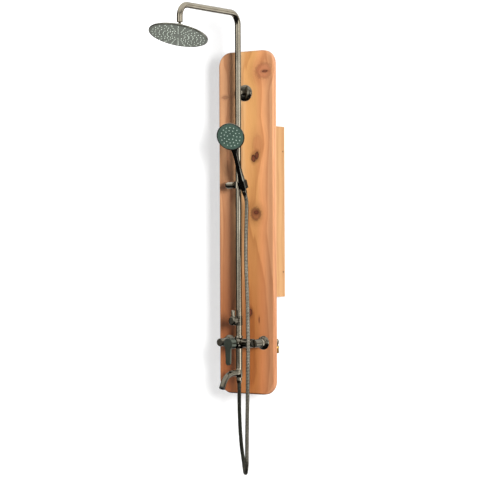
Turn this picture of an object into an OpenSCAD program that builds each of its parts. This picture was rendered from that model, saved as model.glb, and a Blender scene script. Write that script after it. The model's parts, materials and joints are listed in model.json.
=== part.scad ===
// Outdoor shower: a cedar board on a spaced wall frame, with an exposed mixer,
// a tub spout, a rain head on a bent riser and a hand shower on a sliding holder.
// The origin is on the wall, at the centre of the four wall screws. Z is up and
// the shower faces -Y.

/* [Board] */
// Width of the cedar board
board_w = 240; // [225:1:260]
// Height of the cedar board
board_h = 1226; // [1200:1:1260]
// Thickness of the cedar board
board_t = 20; // [19:0.5:24]
// Radius of the board's corners
board_corner_r = 50; // [30:1:60]
// Rounding of the board's front edge
board_edge_r = 5; // [2:0.5:7]
// Drop from the wall screws' centre to the board's lower end
board_drop = 652; // [640:1:670]

/* [Wall frame] */
// Height of the side strips
frame_h = 610; // [560:1:660]
// Depth of the side strips, from the wall to the board
frame_depth = 89; // [86:1:92]
// Thickness of the frame's lumber
lumber_t = 19; // [18:0.5:21]
// Distance of the frame's outer face from the board's side
frame_inset = 27.5; // [26:0.5:34]
// Height of a cross rail
rail_h = 64; // [50:1:80]
// Height of the cross rails' centres above and below the wall screws' centre
rail_z = 216; // [190:1:230]
// Distance between the wall screws of one rail
wall_screw_pitch = 96; // [80:1:104]
// Diameter of the wall screw holes
wall_screw_d = 6; // [5:0.5:8]

/* [Pipes] */
// Outer diameter of the riser and of the arm
pipe_d = 21; // [20:0.5:22]
// Wall of the riser
pipe_wall = 1.5; // [1:0.25:2]
// Distance from the board's face to the riser's axis
column_gap = 45; // [44:0.5:48]
// Height of the arm's axis
arm_z = 704; // [690:0.5:715]
// Radius of the two bends, at the pipe's axis
bend_r = 42; // [36:1:48]
// Distance from the riser's axis to the drop tube's axis
arm_reach = 333; // [300:1:350]
// Height of the riser's bracket
bracket_z = 424; // [410:1:436]
// Outer diameter of the tube below the mixer
down_tube_d = 23; // [22:0.5:24]

/* [Mixer] */
// Height of the mixer's axis
mixer_z = -467; // [-470:1:-464]
// Distance between the two inlets
inlet_pitch = 150; // [148:1:153]
// Diameter of the mixer's cross body
mixer_d = 31; // [29:0.5:32]
// Diameter of the two inlet barrels
barrel_d = 28; // [27:0.5:29]
// Distance from the board's face to the barrels' front discs
barrel_front = 60; // [60:0.5:61]
// Length of the lever below the hub's centre
lever_len = 77; // [70:0.5:84]
// Outward turn of the supply elbows, in degrees from straight down
elbow_turn = 8; // [0:1:20]
// Diameter of the garden hose thread
hose_thread_d = 26.9; // [26.4:0.1:27]

/* [Diverter and spout] */
// Height of the diverter's axis
diverter_z = -388; // [-392:1:-384]
// Diameter of the diverter's knob
diverter_knob_d = 31; // [29:0.5:33]
// Height of the spout's axis at the tee
spout_z = -573; // [-576:1:-570]
// Outer diameter of the spout
spout_d = 21; // [20:0.5:22]
// Radius of the spout's bend, at its axis
spout_bend_r = 66; // [60:1:70]
// Angle of the spout's bend
spout_bend = 62; // [50:1:65]
// Straight length between the spout's bend and its mouth
spout_tail = 13; // [0:1:16]

/* [Rain head] */
// Diameter of the rain head
rain_d = 205; // [190:1:210]
// Height of the swivel ball's centre
ball_z = 625; // [620:1:628]
// Diameter of the swivel ball
ball_d = 22; // [21.5:0.25:22]
// Tilt of the rain head at rest, front edge up
rain_tilt = 17; // [0:1:18]

/* [Hand shower] */
// Diameter of the hand shower's head
hand_d = 100; // [90:1:104]
// Lean of the hand shower in its holder, away from the board
hand_lean = 21.6; // [15:0.1:25]
// Turn of the hand shower in its holder, towards +X
hand_spin = 20; // [0:1:30]
// Angle between the handle's axis and the head's spray axis
hand_angle = 94; // [90:1:100]
// Distance from the hose's end to the holder's centre, along the handle
holder_t = 40; // [39:0.5:41]
// Distance from the holder's centre to the head's centre, along the handle
hand_reach = 182.6; // [176:0.2:190]

/* [Hose] */
// Outer diameter of the ribbed hose
hose_d = 14; // [12:0.5:14]
// Diameter of the hose's bore
hose_bore = 8; // [6:0.5:8]
// Number of ribs
hose_ribs = 190; // [120:1:200]

/* [Hidden] */
$fn = 64;

// Radial clearance of a seated or turning fit
fit = 0.05;
board_front = -(frame_depth + board_t);
board_bottom = -board_drop;
board_top = board_bottom + board_h;
frame_face_x = board_w / 2 - frame_inset;
strip_x = frame_face_x - lumber_t / 2;
rail_half = frame_face_x - lumber_t;
column_y = board_front - column_gap;
drop_y = column_y - arm_reach;
inlet_x = inlet_pitch / 2;
pipe_bore = pipe_d - 2 * pipe_wall;
// Nails and screws of the frame
nail_d = 3;
nail_head_d = 6;
nail_head_t = 1.2;
nail_len = 34;
frame_screw_d = 4.5;
frame_screw_head_d = 8.5;
frame_screw_head_t = 3;
frame_screw_sink = 45;
frame_screw_len = 58;
frame_screw_z = [-275, -60, 275];
// Riser bracket
bracket_base_t = 8;
spigot_d = 14;
stub_d = 18;
bracket_screw_x = 14;
bracket_screw_d = 4;
bracket_set_screw_h = 19;
// Pipe ends
riser_foot_z = diverter_z + 7;
drop_end_z = ball_z + 18;
sleeve_half = 17;
sleeve_d = 25;
tee_top_z = -556;
tee_end_z = -590;
outlet_end_z = -611;
// Mixer, as distances in front of the board
boss_d = 36;
lever_pivot = 80;
hub_front = 112;
hub_back = 105;
hub_d = 38;
nipple_d = 22;
nipple_bore = 15;
// Supply elbows behind the board
elbow_d = 27;
elbow_leg_d = 26;
elbow_leg = 17;
elbow_h = -(frame_depth + board_t - 43);
adapter_flange = 24;
adapter_end = 41;
// Holder on the riser
bush_d = 25;
bush_half = 12;
slider_z = 94;
slider_d = 31;
arm_end_x = 18.5;
hub_t = 8.5;
cone_half = 13;
// Rain head, as heights along its own axis above the ball's centre
nut_d = 32;
neck_top = -6;
seat_d = ball_d + 1.8;
plate_top = -31;
plate_t = 2;
rain_rows = 24;
rain_row_r = [24, 38, 52, 66, 80, 90];
nozzle_h = 2.2;
hand_rings = [[5, 11.5], [11, 23], [16, 34.5]];

// Route of the hose, from the hand shower's nut down and round to the outlet
hose_route = [[34, -160, 57], [34, -154.8, 44], [33.6, -151.6, 30], [33, -150.2, 10],
    [32.5, -151, -20], [33, -154, -70], [36, -160, -130], [43, -168, -210],
    [53, -175, -320], [60, -183, -405], [67, -191, -475], [70, -197, -540],
    [72, -201, -600], [75, -207, -662], [77, -212, -727], [79.5, -217, -784],
    [82.5, -222, -831], [85, -226, -867], [83, -223.5, -887], [75, -215.5, -906],
    [63.5, -202.5, -919], [49, -186, -923], [34.5, -169.5, -919], [22.5, -156.5, -906],
    [14, -149, -887], [8.5, -147, -865], [6, -149, -840], [4, -151, -808],
    [2, -152.7, -766], [0.5, -153.7, -718], [0, -154, -680], [0, -154, -645],
    [0, -154, -625], [0, -154, -611]];
hose_top = hose_route[0];
// Direction across the hose's lower loop, which no part of the hose runs along
hose_across = [0.65, 0.76, 0];
hose_steps = 8;
hose_sides = 8;

// Placing helpers. In front of the board, local Z is the distance from its face.
module at_board(x, z) {
    translate([x, board_front, z]) rotate([90, 0, 0]) children();
}

module rod(from, to, d) {
    translate([0, 0, from]) cylinder(h = to - from, d = d);
}

module ring(from, to, outer, inner) {
    difference() {
        rod(from, to, outer);
        rod(from - 1, to + 1, inner);
    }
}

module turned(points) {
    rotate_extrude() polygon(points);
}

module both_inlets() {
    for (side = [-1, 1]) at_board(side * inlet_x, mixer_z) children();
}

// The board
function arc(cx, cy, r, from, to, steps) =
    [for (i = [0:steps]) let (a = from + (to - from) * i / steps)
        [cx + r * cos(a), cy + r * sin(a)]];

module board_corner() {
    e = board_edge_r;
    turned(concat([[0, 0], [board_corner_r - 1, 0], [board_corner_r, 1]],
        arc(board_corner_r - e, board_t - e, e, 0, 90, 4), [[0, board_t]]), $fn = 32);
}

module cedar_board() {
    color("peru") difference() {
        hull() for (x = [-1, 1], z = [board_bottom + board_corner_r, board_top - board_corner_r])
            translate([x * (board_w / 2 - board_corner_r), -frame_depth, z])
                rotate([90, 0, 0]) board_corner($fn = 32);
        both_inlets() rod(-board_t - 1, 1, nipple_d + 4);
        for (side = [-1, 1]) {
            at_board(side * bracket_screw_x, bracket_z) rod(-15, 1, bracket_screw_d + 2 * fit);
            for (z = frame_screw_z) translate([side * strip_x, 0, z]) rotate([90, 0, 0])
                rod(frame_depth - 1, frame_screw_sink + frame_screw_len + 0.5,
                    frame_screw_d + 2 * fit);
        }
    }
}

// The wall frame
module nail(extra) {
    rod(-extra, nail_head_t, nail_head_d + (extra > 0 ? 2 * fit : 0));
    rod(nail_head_t - 0.01, nail_len + extra, nail_d + (extra > 0 ? 2 * fit : 0));
}

module at_nail(side, z) {
    translate([side * frame_face_x, -lumber_t / 2, z]) rotate([0, -side * 90, 0]) children();
}

module side_strip(side) {
    color("burlywood") difference() {
        translate([side * strip_x, -frame_depth / 2, 0])
            cube([lumber_t, frame_depth, frame_h], center = true);
        for (z = [-rail_z, rail_z]) at_nail(side, z) nail(0.5);
        for (z = frame_screw_z) translate([side * strip_x, 0, z]) rotate([90, 0, 0]) {
            rod(-1, frame_screw_sink + frame_screw_head_t, frame_screw_head_d + 1);
            rod(0, frame_depth + 1, frame_screw_d + 2 * fit);
        }
    }
}

module cross_rail(z) {
    color("burlywood") difference() {
        translate([0, -lumber_t / 2, z]) cube([2 * rail_half, lumber_t, rail_h], center = true);
        for (side = [-1, 1]) {
            at_nail(side, z) nail(0.5);
            translate([side * wall_screw_pitch / 2, 1, z]) rotate([90, 0, 0])
                rod(0, lumber_t + 2, wall_screw_d);
        }
    }
}

module frame_nails() {
    color("sienna") for (side = [-1, 1], z = [-rail_z, rail_z]) at_nail(side, z) nail(0);
}

module frame_screws() {
    color("gray") for (side = [-1, 1], z = frame_screw_z)
        translate([side * strip_x, 0, z]) rotate([90, 0, 0]) {
            rod(frame_screw_sink, frame_screw_sink + frame_screw_head_t, frame_screw_head_d);
            rod(frame_screw_sink + 1, frame_screw_sink + frame_screw_len, frame_screw_d);
        }
}

// The riser's bracket: a screwed base, its cover and the stub behind the riser
module bracket_screw_holes(play) {
    for (side = [-1, 1]) translate([side * bracket_screw_x, 0, 0]) {
        rod(-14, 6, bracket_screw_d + 2 * play);
        rod(5.5, bracket_base_t + (play > 0 ? 1 : 0), 7.6 + 2 * play);
    }
}

module bracket_base() {
    color("dimgray") at_board(0, bracket_z) difference() {
        union() {
            rod(0, bracket_base_t, 42);
            rod(bracket_base_t - 1, 24, spigot_d);
        }
        bracket_screw_holes(fit);
    }
}

module bracket_screws() {
    color("gray") at_board(0, bracket_z) bracket_screw_holes(0);
}

module bracket_flange() {
    color("darkslategray") at_board(0, bracket_z)
        turned([[27.7, 0], [29.3, 0], [29.3, 4], [27.8, 7.4], [22.6, 10.8], [13, 13],
            [9.05, 13], [9.05, 11.2], [12.8, 11.2], [21.8, 9.3], [26.2, 6.6], [27.7, 3.6]]);
}

module bracket_stub() {
    color("silver") at_board(0, bracket_z) difference() {
        rod(bracket_base_t, column_gap, stub_d);
        rod(bracket_base_t - 1, 26, spigot_d + 2 * fit);
        translate([0, 0, column_gap]) rotate([90, 0, 0])
            cylinder(h = 60, d = pipe_d + 2 * fit, center = true);
        translate([0, 0, bracket_set_screw_h]) rotate([90, 0, 0]) rod(0, 12, 4 + 2 * fit);
    }
}

module bracket_set_screw() {
    color("dimgray") at_board(0, bracket_z) translate([0, 0, bracket_set_screw_h])
        rotate([90, 0, 0]) difference() {
            rod(spigot_d / 2 + 0.1, stub_d / 2, 4);
            rod(stub_d / 2 - 1, stub_d / 2 + 1, 2, $fn = 6);
        }
}

// The riser, its two bends and the arm, as one bent pipe
module riser_run(d) {
    low = arm_z - bend_r;
    translate([0, column_y, riser_foot_z]) cylinder(h = low - riser_foot_z, d = d);
    translate([0, column_y - bend_r, low]) rotate([90, 0, 90])
        rotate_extrude(angle = 90) translate([bend_r, 0]) circle(d = d);
    translate([0, column_y - bend_r, arm_z]) rotate([90, 0, 0])
        cylinder(h = arm_reach - 2 * bend_r, d = d);
    translate([0, drop_y + bend_r, low]) rotate([90, 0, 90]) rotate([0, 0, 90])
        rotate_extrude(angle = 90) translate([bend_r, 0]) circle(d = d);
    translate([0, drop_y, drop_end_z]) cylinder(h = low - drop_end_z, d = d);
}

module riser_pipe() {
    color("darkkhaki") difference() {
        riser_run(pipe_d);
        riser_run(pipe_bore);
    }
}

// The diverter on the riser
module diverter_body() {
    color("silver") at_board(0, diverter_z) difference() {
        union() {
            turned([[0, column_gap], [10.4, column_gap], [10.8, 58], [13.4, 66], [14.2, 69],
                [14.2, 71], [0, 71]]);
            translate([0, 0, column_gap]) rotate([90, 0, 0])
                rod(-sleeve_half, sleeve_half, sleeve_d);
        }
        translate([0, 0, column_gap]) rotate([90, 0, 0]) {
            rod(-sleeve_half - 1, -7, pipe_d + 2 * fit);
            rod(7, sleeve_half + 1, pipe_d + 2 * fit);
            rod(-8, 8, 16);
        }
        rod(50, 72, 10);
    }
}

module diverter_spindle() {
    color("dimgray") at_board(0, diverter_z) rod(50.5, 84, 10 - 2 * fit);
}

module diverter_knob() {
    r = diverter_knob_d / 2;
    color("darkslategray") at_board(0, diverter_z) difference() {
        turned([[0, 71.4], [r - 1.5, 71.4], [r, 73], [r, 86.5], [r - 2, 89], [r - 5, 90],
            [0, 90.6]]);
        rod(71, 84, 10);
        translate([0, 0, 80]) rotate([-90, 0, 0]) rod(9, 20, 6 + 2 * fit);
    }
}

module diverter_post() {
    color("tan") at_board(0, diverter_z) translate([0, 0, 80]) difference() {
        rotate([-90, 0, 0]) {
            rod(9.2, 15, 6);
            turned([[0, 13], [6.6, 13], [7, 18], [7, 33], [6.3, 36], [4.4, 37.7], [0, 38.2]]);
        }
        difference() {
            rod(-9, 9, diverter_knob_d + 2 * fit);
            rotate([-90, 0, 0]) rod(0, 20, 6);
        }
    }
}

// The short tube between the mixer and the diverter, and its collar
module lower_riser() {
    foot = mixer_z + 14.6;
    color("silver") translate([0, column_y, foot])
        ring(0, diverter_z - 7 - foot, pipe_d, pipe_bore);
}

module outlet_collar() {
    color("goldenrod") translate([0, column_y, mixer_z])
        turned([[12.05, 18.1], [14, 18.1], [14, 23.6], [13.2, 24.5], [10.55, 24.5],
            [10.55, 19.1], [12.05, 19.1]]);
}

// The mixer's casting
module mixer_body() {
    half = inlet_x - 8;
    r = mixer_d / 2;
    color("dimgray") difference() {
        union() {
            translate([0, column_y, mixer_z]) rotate([0, 90, 0])
                turned([[0, -inlet_x], [11, -inlet_x], [11, -half], [13, 1 - half],
                    [r, 4 - half], [r, half - 4], [13, half - 1], [11, half],
                    [11, inlet_x], [0, inlet_x]]);
            both_inlets() turned([[0, 18], [barrel_d / 2, 18], [barrel_d / 2, barrel_front - 1],
                [barrel_d / 2 - 1, barrel_front], [0, barrel_front]]);
            at_board(0, mixer_z) rod(column_gap, barrel_front + 2.4, boss_d);
            translate([0, column_y, mixer_z - 20]) cylinder(h = 39, d = 24);
            translate([0, column_y, mixer_z - 20]) cylinder(h = 18, d = 26.5);
        }
        both_inlets() rod(17, column_gap, nipple_bore);
        at_board(0, mixer_z) rod(36, barrel_front + 1, 28 + 2 * fit);
        at_board(0, mixer_z) rod(barrel_front, barrel_front + 3, 33);
        translate([0, column_y, mixer_z + 14.5]) cylinder(h = 6, d = pipe_d + 2 * fit);
        translate([0, column_y, mixer_z - 21]) cylinder(h = 6, d = down_tube_d + 2 * fit);
        translate([0, column_y, mixer_z - 16]) cylinder(h = 31, d = 12);
    }
}

module cartridge() {
    color("whitesmoke") at_board(0, mixer_z) difference() {
        turned([[0, 36], [14, 36], [14, 56], [11, 56], [11, 66], [0, 66]]);
        rod(59.9, 67, 13);
    }
}

module retaining_nut() {
    color("goldenrod") at_board(0, mixer_z)
        turned([[11.05, 56], [13.95, 56], [13.95, 60.05], [16.4, 60.05], [16.4, 64],
            [11.05, 64]]);
}

module bonnet() {
    inner = 13.5;
    color("tan") at_board(0, mixer_z)
        turned(concat([[18.05, 60.6], [19.5, 60.6], [19.5, 72], [17.5, 77]],
            arc(0, lever_pivot, 15, -11.5, 27.8, 4), arc(0, lever_pivot, inner, 31.2, -20, 4),
            [[17, 71.5], [18.05, 70]]));
}

// The lever: a carrier that turns in the cartridge, and a stem that rocks on its pin
module lever_carrier() {
    color("lightgray") at_board(0, mixer_z) difference() {
        union() {
            rod(60.1, 69, 13 - 2 * fit);
            rod(68, 84, 17);
        }
        translate([-4.3, -10, 74]) cube([8.6, 20, 12]);
        translate([-9, 0, lever_pivot]) rotate([0, 90, 0]) cylinder(h = 18, d = 3);
    }
}

module lever_pin() {
    color("gray") at_board(0, mixer_z) translate([-8, 0, lever_pivot])
        rotate([0, 90, 0]) cylinder(h = 16, d = 3 - 2 * fit);
}

module lever_stem() {
    color("lightgray") at_board(0, mixer_z) difference() {
        union() {
            translate([-4, 0, lever_pivot]) rotate([0, 90, 0]) cylinder(h = 8, d = 8);
            translate([-4, -3.9, lever_pivot]) cube([8, 7.8, 16]);
        }
        translate([-5, 0, lever_pivot]) rotate([0, 90, 0]) cylinder(h = 10, d = 3);
    }
}

module lever_blade() {
    top = 12.5;
    tip = 10.5;
    linear_extrude(hub_front - hub_back) polygon(concat([[-top, 0]],
        arc(0, tip - lever_len, tip, 184, 356, 12), [[top, 0]]));
}

module lever_handle() {
    r = hub_d / 2;
    color("darkslategray") at_board(0, mixer_z) difference() {
        union() {
            turned([[0, hub_back], [r, hub_back], [r, hub_front - 1], [r - 1, hub_front],
                [0, hub_front]]);
            ring(85.5, hub_back + 0.5, hub_d, 32);
            rod(93, hub_back + 0.5, 18);
            translate([0, 0, hub_back]) lever_blade();
        }
        translate([-4 - fit, -3.9 - fit, 92]) cube([8 + 2 * fit, 7.8 + 2 * fit, 4.05]);
        translate([0, 0, 95.4]) rotate([-90, 0, 0]) rod(2, 20, 3.6 + 2 * fit);
    }
}

module handle_screw() {
    color("gray") at_board(0, mixer_z) translate([0, 0, 95.4]) rotate([-90, 0, 0])
        rod(4.05, 8.8, 3.6);
}

// What joins the mixer to the supply behind the board
module inlet_nipples() {
    color("darkgoldenrod") both_inlets() {
        ring(-board_t - 16, 16, nipple_d, nipple_bore);
        ring(13, 16, 27.8, nipple_bore);
    }
}

module escutcheons() {
    bore = nipple_d / 2 + fit;
    color("darkslategray") both_inlets()
        turned([[23.4, 0], [24.5, 0], [24.5, 2], [22.4, 5.2], [17, 8.4], [14.4, 9],
            [bore, 9], [bore, 7.6], [14.2, 7.6], [16.4, 7], [21.4, 4.1], [23.4, 1.6]]);
}

module union_nuts() {
    color("goldenrod") both_inlets()
        turned([[nipple_d / 2 + fit, 9.2], [14.6, 9.2], [15.6, 10.2], [15.6, 23], [14.8, 24],
            [barrel_d / 2 + fit, 24], [barrel_d / 2 + fit, 12.9], [nipple_d / 2 + fit, 12.9]]);
}

module inlet_washers() {
    color("black") both_inlets() ring(16, 18, 27.6, nipple_bore);
}

module lock_nuts() {
    color("goldenrod") both_inlets() difference() {
        rod(-board_t - 7, -board_t, 36, $fn = 6);
        rod(-board_t - 8, 0, nipple_d + 2 * fit);
    }
}

module at_elbow(side) {
    at_board(side * inlet_x, mixer_z) translate([0, 0, elbow_h])
        rotate([0, 0, side * elbow_turn]) children();
}

module supply_elbow(side) {
    mouth = -board_t - 8 - elbow_h;
    r = elbow_d / 2;
    color("darkgray") at_elbow(side) difference() {
        union() {
            turned([[0, -r], [r - 4, -r], [r - 1, -r + 1.6], [r, -r + 4.5], [r, mouth - 12],
                [r + 1, mouth - 11], [r + 1, mouth - 1], [r, mouth], [0, mouth]]);
            rotate([90, 0, 0]) rod(0, elbow_leg, elbow_leg_d);
        }
        rod(mouth - 8.1, mouth + 1, nipple_d + 2 * fit);
        rod(0, mouth - 7, nipple_bore);
        rotate([90, 0, 0]) rod(0, 9, nipple_bore);
        rotate([90, 0, 0]) rod(8, elbow_leg + 1, 20 + 2 * fit);
    }
}

module hose_adapter(side) {
    color("gold") at_elbow(side) rotate([90, 0, 0]) difference() {
        union() {
            rod(8, elbow_leg + 1, 20);
            rod(elbow_leg, adapter_flange, 33, $fn = 6);
            rod(adapter_flange - 1, adapter_end, hose_thread_d);
        }
        rod(7, adapter_end + 1, nipple_bore);
    }
}

// The tube below the mixer, the tee and the tub spout
module down_tube() {
    top = mixer_z - 15.1;
    color("silver") translate([0, column_y, tee_top_z])
        ring(0, top - tee_top_z, down_tube_d, down_tube_d - 3);
}

module spout_tee() {
    color("silver") difference() {
        union() {
            translate([0, column_y, tee_end_z])
                cylinder(h = tee_top_z - tee_end_z, d = down_tube_d);
            translate([0, column_y, tee_end_z - 10]) cylinder(h = 11, d = 14);
            at_board(0, spout_z) rod(column_gap, 62, spout_d);
        }
        translate([0, column_y, tee_end_z + 3])
            cylinder(h = 40, d = down_tube_d - 3);
        translate([0, column_y, tee_end_z - 11]) cylinder(h = 20, d = 8);
        at_board(0, spout_z) rod(column_gap, 63, spout_d - 4);
    }
}

module at_spout_bend(angle) {
    translate([0, board_front - 81, spout_z - spout_bend_r]) rotate([90, 0, 90])
        rotate([0, 0, angle]) children();
}

module at_spout_mouth() {
    at_spout_bend(90 + spout_bend) translate([spout_bend_r, spout_tail, 0])
        rotate([-90, 0, 0]) children();
}

module spout_run(d, past) {
    at_board(0, spout_z) rod(62, 81, d);
    at_spout_bend(90) rotate_extrude(angle = spout_bend) translate([spout_bend_r, 0])
        circle(d = d);
    at_spout_mouth() rod(-spout_tail - 1, past, d + 0.4);
}

module spout() {
    color("darkkhaki") difference() {
        spout_run(spout_d, 0);
        spout_run(spout_d - 4, 1);
    }
}

module spout_tip() {
    color("black") at_spout_mouth() difference() {
        union() {
            rod(0, 5, spout_d + 1);
            rod(-3, 1, spout_d - 4 - 6 * fit);
        }
        rod(-4, 6, 13);
    }
}

// The hose and its nuts
module lower_hose_nut() {
    color("darkslategray") translate([0, column_y, 0])
        turned([[7.05, tee_end_z - 0.1], [9.2, tee_end_z - 0.1], [9.5, tee_end_z - 2],
            [9.5, tee_end_z - 11], [7.6, outlet_end_z], [4, outlet_end_z],
            [4, tee_end_z - 10.1], [7.05, tee_end_z - 10.1]]);
}

function smooth_point(a, b, c, d, t) =
    0.5 * (2 * b + (c - a) * t + (2 * a - 5 * b + 4 * c - d) * t * t
        + (3 * b - a - 3 * c + d) * t * t * t);

function smooth_line(p, steps) = let (n = len(p) - 1)
    [for (i = [0:n - 1], k = [0:steps - 1])
        smooth_point(p[i] * (i > 0 ? 0 : 2) - (i > 0 ? 0 : 1) * p[1] + (i > 0 ? p[i - 1] : [0, 0, 0]),
            p[i], p[i + 1], i < n - 1 ? p[i + 2] : 2 * p[n] - p[n - 1], k / steps),
        p[n]];

function run_lengths(p, i = 1, total = 0, found = [0]) = i >= len(p) ? found :
    let (next = total + norm(p[i] - p[i - 1])) run_lengths(p, i + 1, next, concat(found, [next]));

function place_at(p, lengths, s, i) = lengths[i + 1] >= s || i >= len(p) - 2 ?
    [p[i] + (p[i + 1] - p[i]) * (s - lengths[i]) / (lengths[i + 1] - lengths[i]), i] :
    place_at(p, lengths, s, i + 1);

function unit(v) = v / norm(v);

function hose_ring(centre, along, r) = let (
    across = unit(hose_across - (hose_across * along) * along),
    up = cross(along, across))
    [for (k = [0:hose_sides - 1]) let (a = 360 * (k + 0.5) / hose_sides)
        centre + r * cos(a) * across + r * sin(a) * up];

module hose() {
    line = smooth_line(hose_route, hose_steps);
    lengths = run_lengths(line);
    total = lengths[len(lengths) - 1];
    echo(hose_length = total);
    start = hose_d;
    pitch = (total - 2 * hose_d) / hose_ribs;
    r = hose_d / 2;
    crest = r / cos(180 / hose_sides);
    valley = crest - 1.3;
    marks = concat([[0, valley]], [for (i = [0:hose_ribs - 1], h = [0, 1])
        [start + (i + h / 2) * pitch, h == 0 ? valley : crest]],
        [[total - hose_d, valley], [total, valley]]);
    places = [for (m = marks) let (q = place_at(line, lengths, m[0], 0)) q[0]];
    n = len(places);
    along = [for (i = [0:n - 1])
        i == 0 ? unit(line[1] - line[0]) :
        i == n - 1 ? unit(line[len(line) - 1] - line[len(line) - 2]) :
        unit(places[i + 1] - places[i - 1])];
    inner = [for (i = [0:6:n - 2]) i, n - 1];
    m = len(inner);
    outer_points = [for (i = [0:n - 1]) each hose_ring(places[i], along[i], marks[i][1])];
    inner_points = [for (i = inner) each hose_ring(places[i], along[i], hose_bore / 2)];
    base = n * hose_sides;
    wrap = [for (k = [0:hose_sides - 1]) [k, (k + 1) % hose_sides]];
    outer_faces = [for (i = [0:n - 2], w = wrap) let (a = i * hose_sides, b = a + hose_sides)
        each [[a + w[0], b + w[1], a + w[1]], [a + w[0], b + w[0], b + w[1]]]];
    inner_faces = [for (i = [0:m - 2], w = wrap)
        let (a = base + i * hose_sides, b = a + hose_sides)
        each [[a + w[0], a + w[1], b + w[1]], [a + w[0], b + w[1], b + w[0]]]];
    near = base;
    far = base + (m - 1) * hose_sides;
    last = (n - 1) * hose_sides;
    caps = [for (w = wrap) each [[w[0], w[1], near + w[1]], [w[0], near + w[1], near + w[0]],
        [last + w[0], far + w[1], last + w[1]], [last + w[0], far + w[0], far + w[1]]]];
    color("silver") polyhedron(concat(outer_points, inner_points),
        concat(outer_faces, inner_faces, caps));
}

// The holder that slides and swings on the riser
module at_slider() {
    translate([0, column_y, slider_z]) children();
}

module slider_bush() {
    color("white") at_slider() ring(-bush_half, bush_half, bush_d, pipe_d + 2 * fit);
}

module slider_body() {
    color("silver") at_slider() difference() {
        union() {
            rod(-bush_half, bush_half, slider_d);
            rotate([0, 90, 0]) rod(12, arm_end_x, 20);
            rotate([0, 90, 0]) rod(-19, -12, 18);
        }
        rod(-bush_half - 1, bush_half + 1, bush_d + 2 * fit);
        rotate([0, 90, 0]) rod(-20, -10, 6 + 2 * fit);
        rotate([0, 90, 0]) rod(14, arm_end_x + 1, 5 + 2 * fit);
    }
}

module cradle_screw() {
    color("gray") at_slider() rotate([0, 90, 0]) {
        rod(14.5, arm_end_x + hub_t + 0.7, 5);
        rod(arm_end_x + hub_t + 0.6, arm_end_x + hub_t + 2.6, 9);
    }
}

module lock_knob() {
    color("silver") at_slider() rotate([0, -90, 0])
        turned([[0, 12.7], [3, 12.7], [3, 19.4], [9.5, 19.4], [11.5, 21.2], [11.5, 44],
            [10.8, 49], [8.4, 53], [4.4, 54.8], [0, 55.2]]);
}

module at_handset() {
    translate(hose_top) rotate([hand_lean, 0, 0]) rotate([0, 0, hand_spin]) children();
}

module at_holder() {
    at_handset() translate([0, 0, holder_t]) children();
}

module holder_slot(width) {
    translate([-width / 2, -30, -cone_half - 1]) cube([width, 30, 2 * cone_half + 2]);
}

module cradle() {
    color("darkgray") difference() {
        union() {
            at_holder() rod(-cone_half, cone_half, 35);
            at_slider() rotate([0, 90, 0]) rod(arm_end_x + 0.3, arm_end_x + hub_t + 0.3, 20);
            at_slider() translate([arm_end_x + 0.3, -14, -7]) cube([hub_t + 3, 14, 14]);
        }
        at_holder() translate([0, 0, -cone_half])
            cylinder(h = 2 * cone_half, r1 = 12.2, r2 = 14.2);
        at_holder() rod(-cone_half - 12, -cone_half + 0.01, 24.4);
        at_holder() rod(cone_half - 0.01, cone_half + 12, 28.4);
        at_holder() holder_slot(17);
        at_slider() rotate([0, 90, 0]) rod(arm_end_x - 1, arm_end_x + hub_t + 0.3, 5 + 2 * fit);
        at_slider() rotate([0, 90, 0]) rod(arm_end_x + hub_t + 0.3, arm_end_x + hub_t + 14, 11);
    }
}

module cradle_liner() {
    color("black") at_holder() difference() {
        translate([0, 0, -cone_half])
            cylinder(h = 2 * cone_half, r1 = 12.2 - fit, r2 = 14.2 - fit);
        translate([0, 0, -cone_half])
            cylinder(h = 2 * cone_half, r1 = 10.4, r2 = 12.4);
        holder_slot(17);
    }
}

// The hand shower
module at_hand_head() {
    at_handset() translate([0, 0, holder_t + hand_reach]) rotate([hand_angle, 0, 0]) children();
}

module handset_body() {
    low = holder_t - cone_half;
    high = holder_t + cone_half;
    r = hand_d / 2;
    color("darkslategray") difference() {
        union() {
            at_handset() difference() {
                turned([[0, 8], [6.5, 8], [6.5, 18.05], [8.6, 18.05], [9, 22],
                    [10.4 - fit, low], [12.4 - fit, high], [12.2, high + 5], [10.6, high + 20],
                    [9.2, high + 50], [9, high + 90], [9.6, high + 118], [11, high + 132],
                    [0, high + 150]]);
                translate([0, -9.4, high + 95]) rotate([-7, 0, 0]) translate([-20, -20, 0])
                    cube([40, 20, 70]);
            }
            at_hand_head() turned([[0, -13], [18, -12.2], [34, -8.6], [44, -2.6], [r - 1.6, 4],
                [r, 8], [r, 10], [r - 1, 11], [r - 3, 11], [r - 3, 7], [0, 7]]);
        }
        at_handset() rod(7, holder_t + 20, 8);
        at_hand_head() rod(7, 12, hand_d - 6);
    }
}

module handset_face() {
    color("darkslategray") at_hand_head() rod(7, 10.2, hand_d - 6 - 2 * fit);
}

module handset_nozzles() {
    color("lightgray") at_hand_head() {
        for (g = hand_rings, i = [0:g[0] - 1]) rotate([0, 0, 360 * i / g[0] + g[1]])
            translate([g[1], 0, 10.2]) cylinder(h = nozzle_h - 0.4, d1 = 4, d2 = 2.6, $fn = 16);
    }
}

module upper_hose_nut() {
    color("silver") at_handset()
        turned([[4, 0.1], [7.6, 0.1], [8.4, 6], [9, 9], [9, 17], [8.6, 17.95], [6.55, 17.95],
            [6.55, 7.95], [4, 7.95]]);
}

// The rain head on its swivel ball
module at_rain_head() {
    translate([0, drop_y, ball_z]) rotate([-rain_tilt, 0, 0]) children();
}

module swivel_ball() {
    color("gray") translate([0, drop_y, ball_z]) {
        sphere(d = ball_d);
        rod(8, 17, 9);
        rod(16, drop_end_z - ball_z, pipe_d);
        rod(17, drop_end_z - ball_z + 10, pipe_bore - 2 * fit);
    }
}

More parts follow.
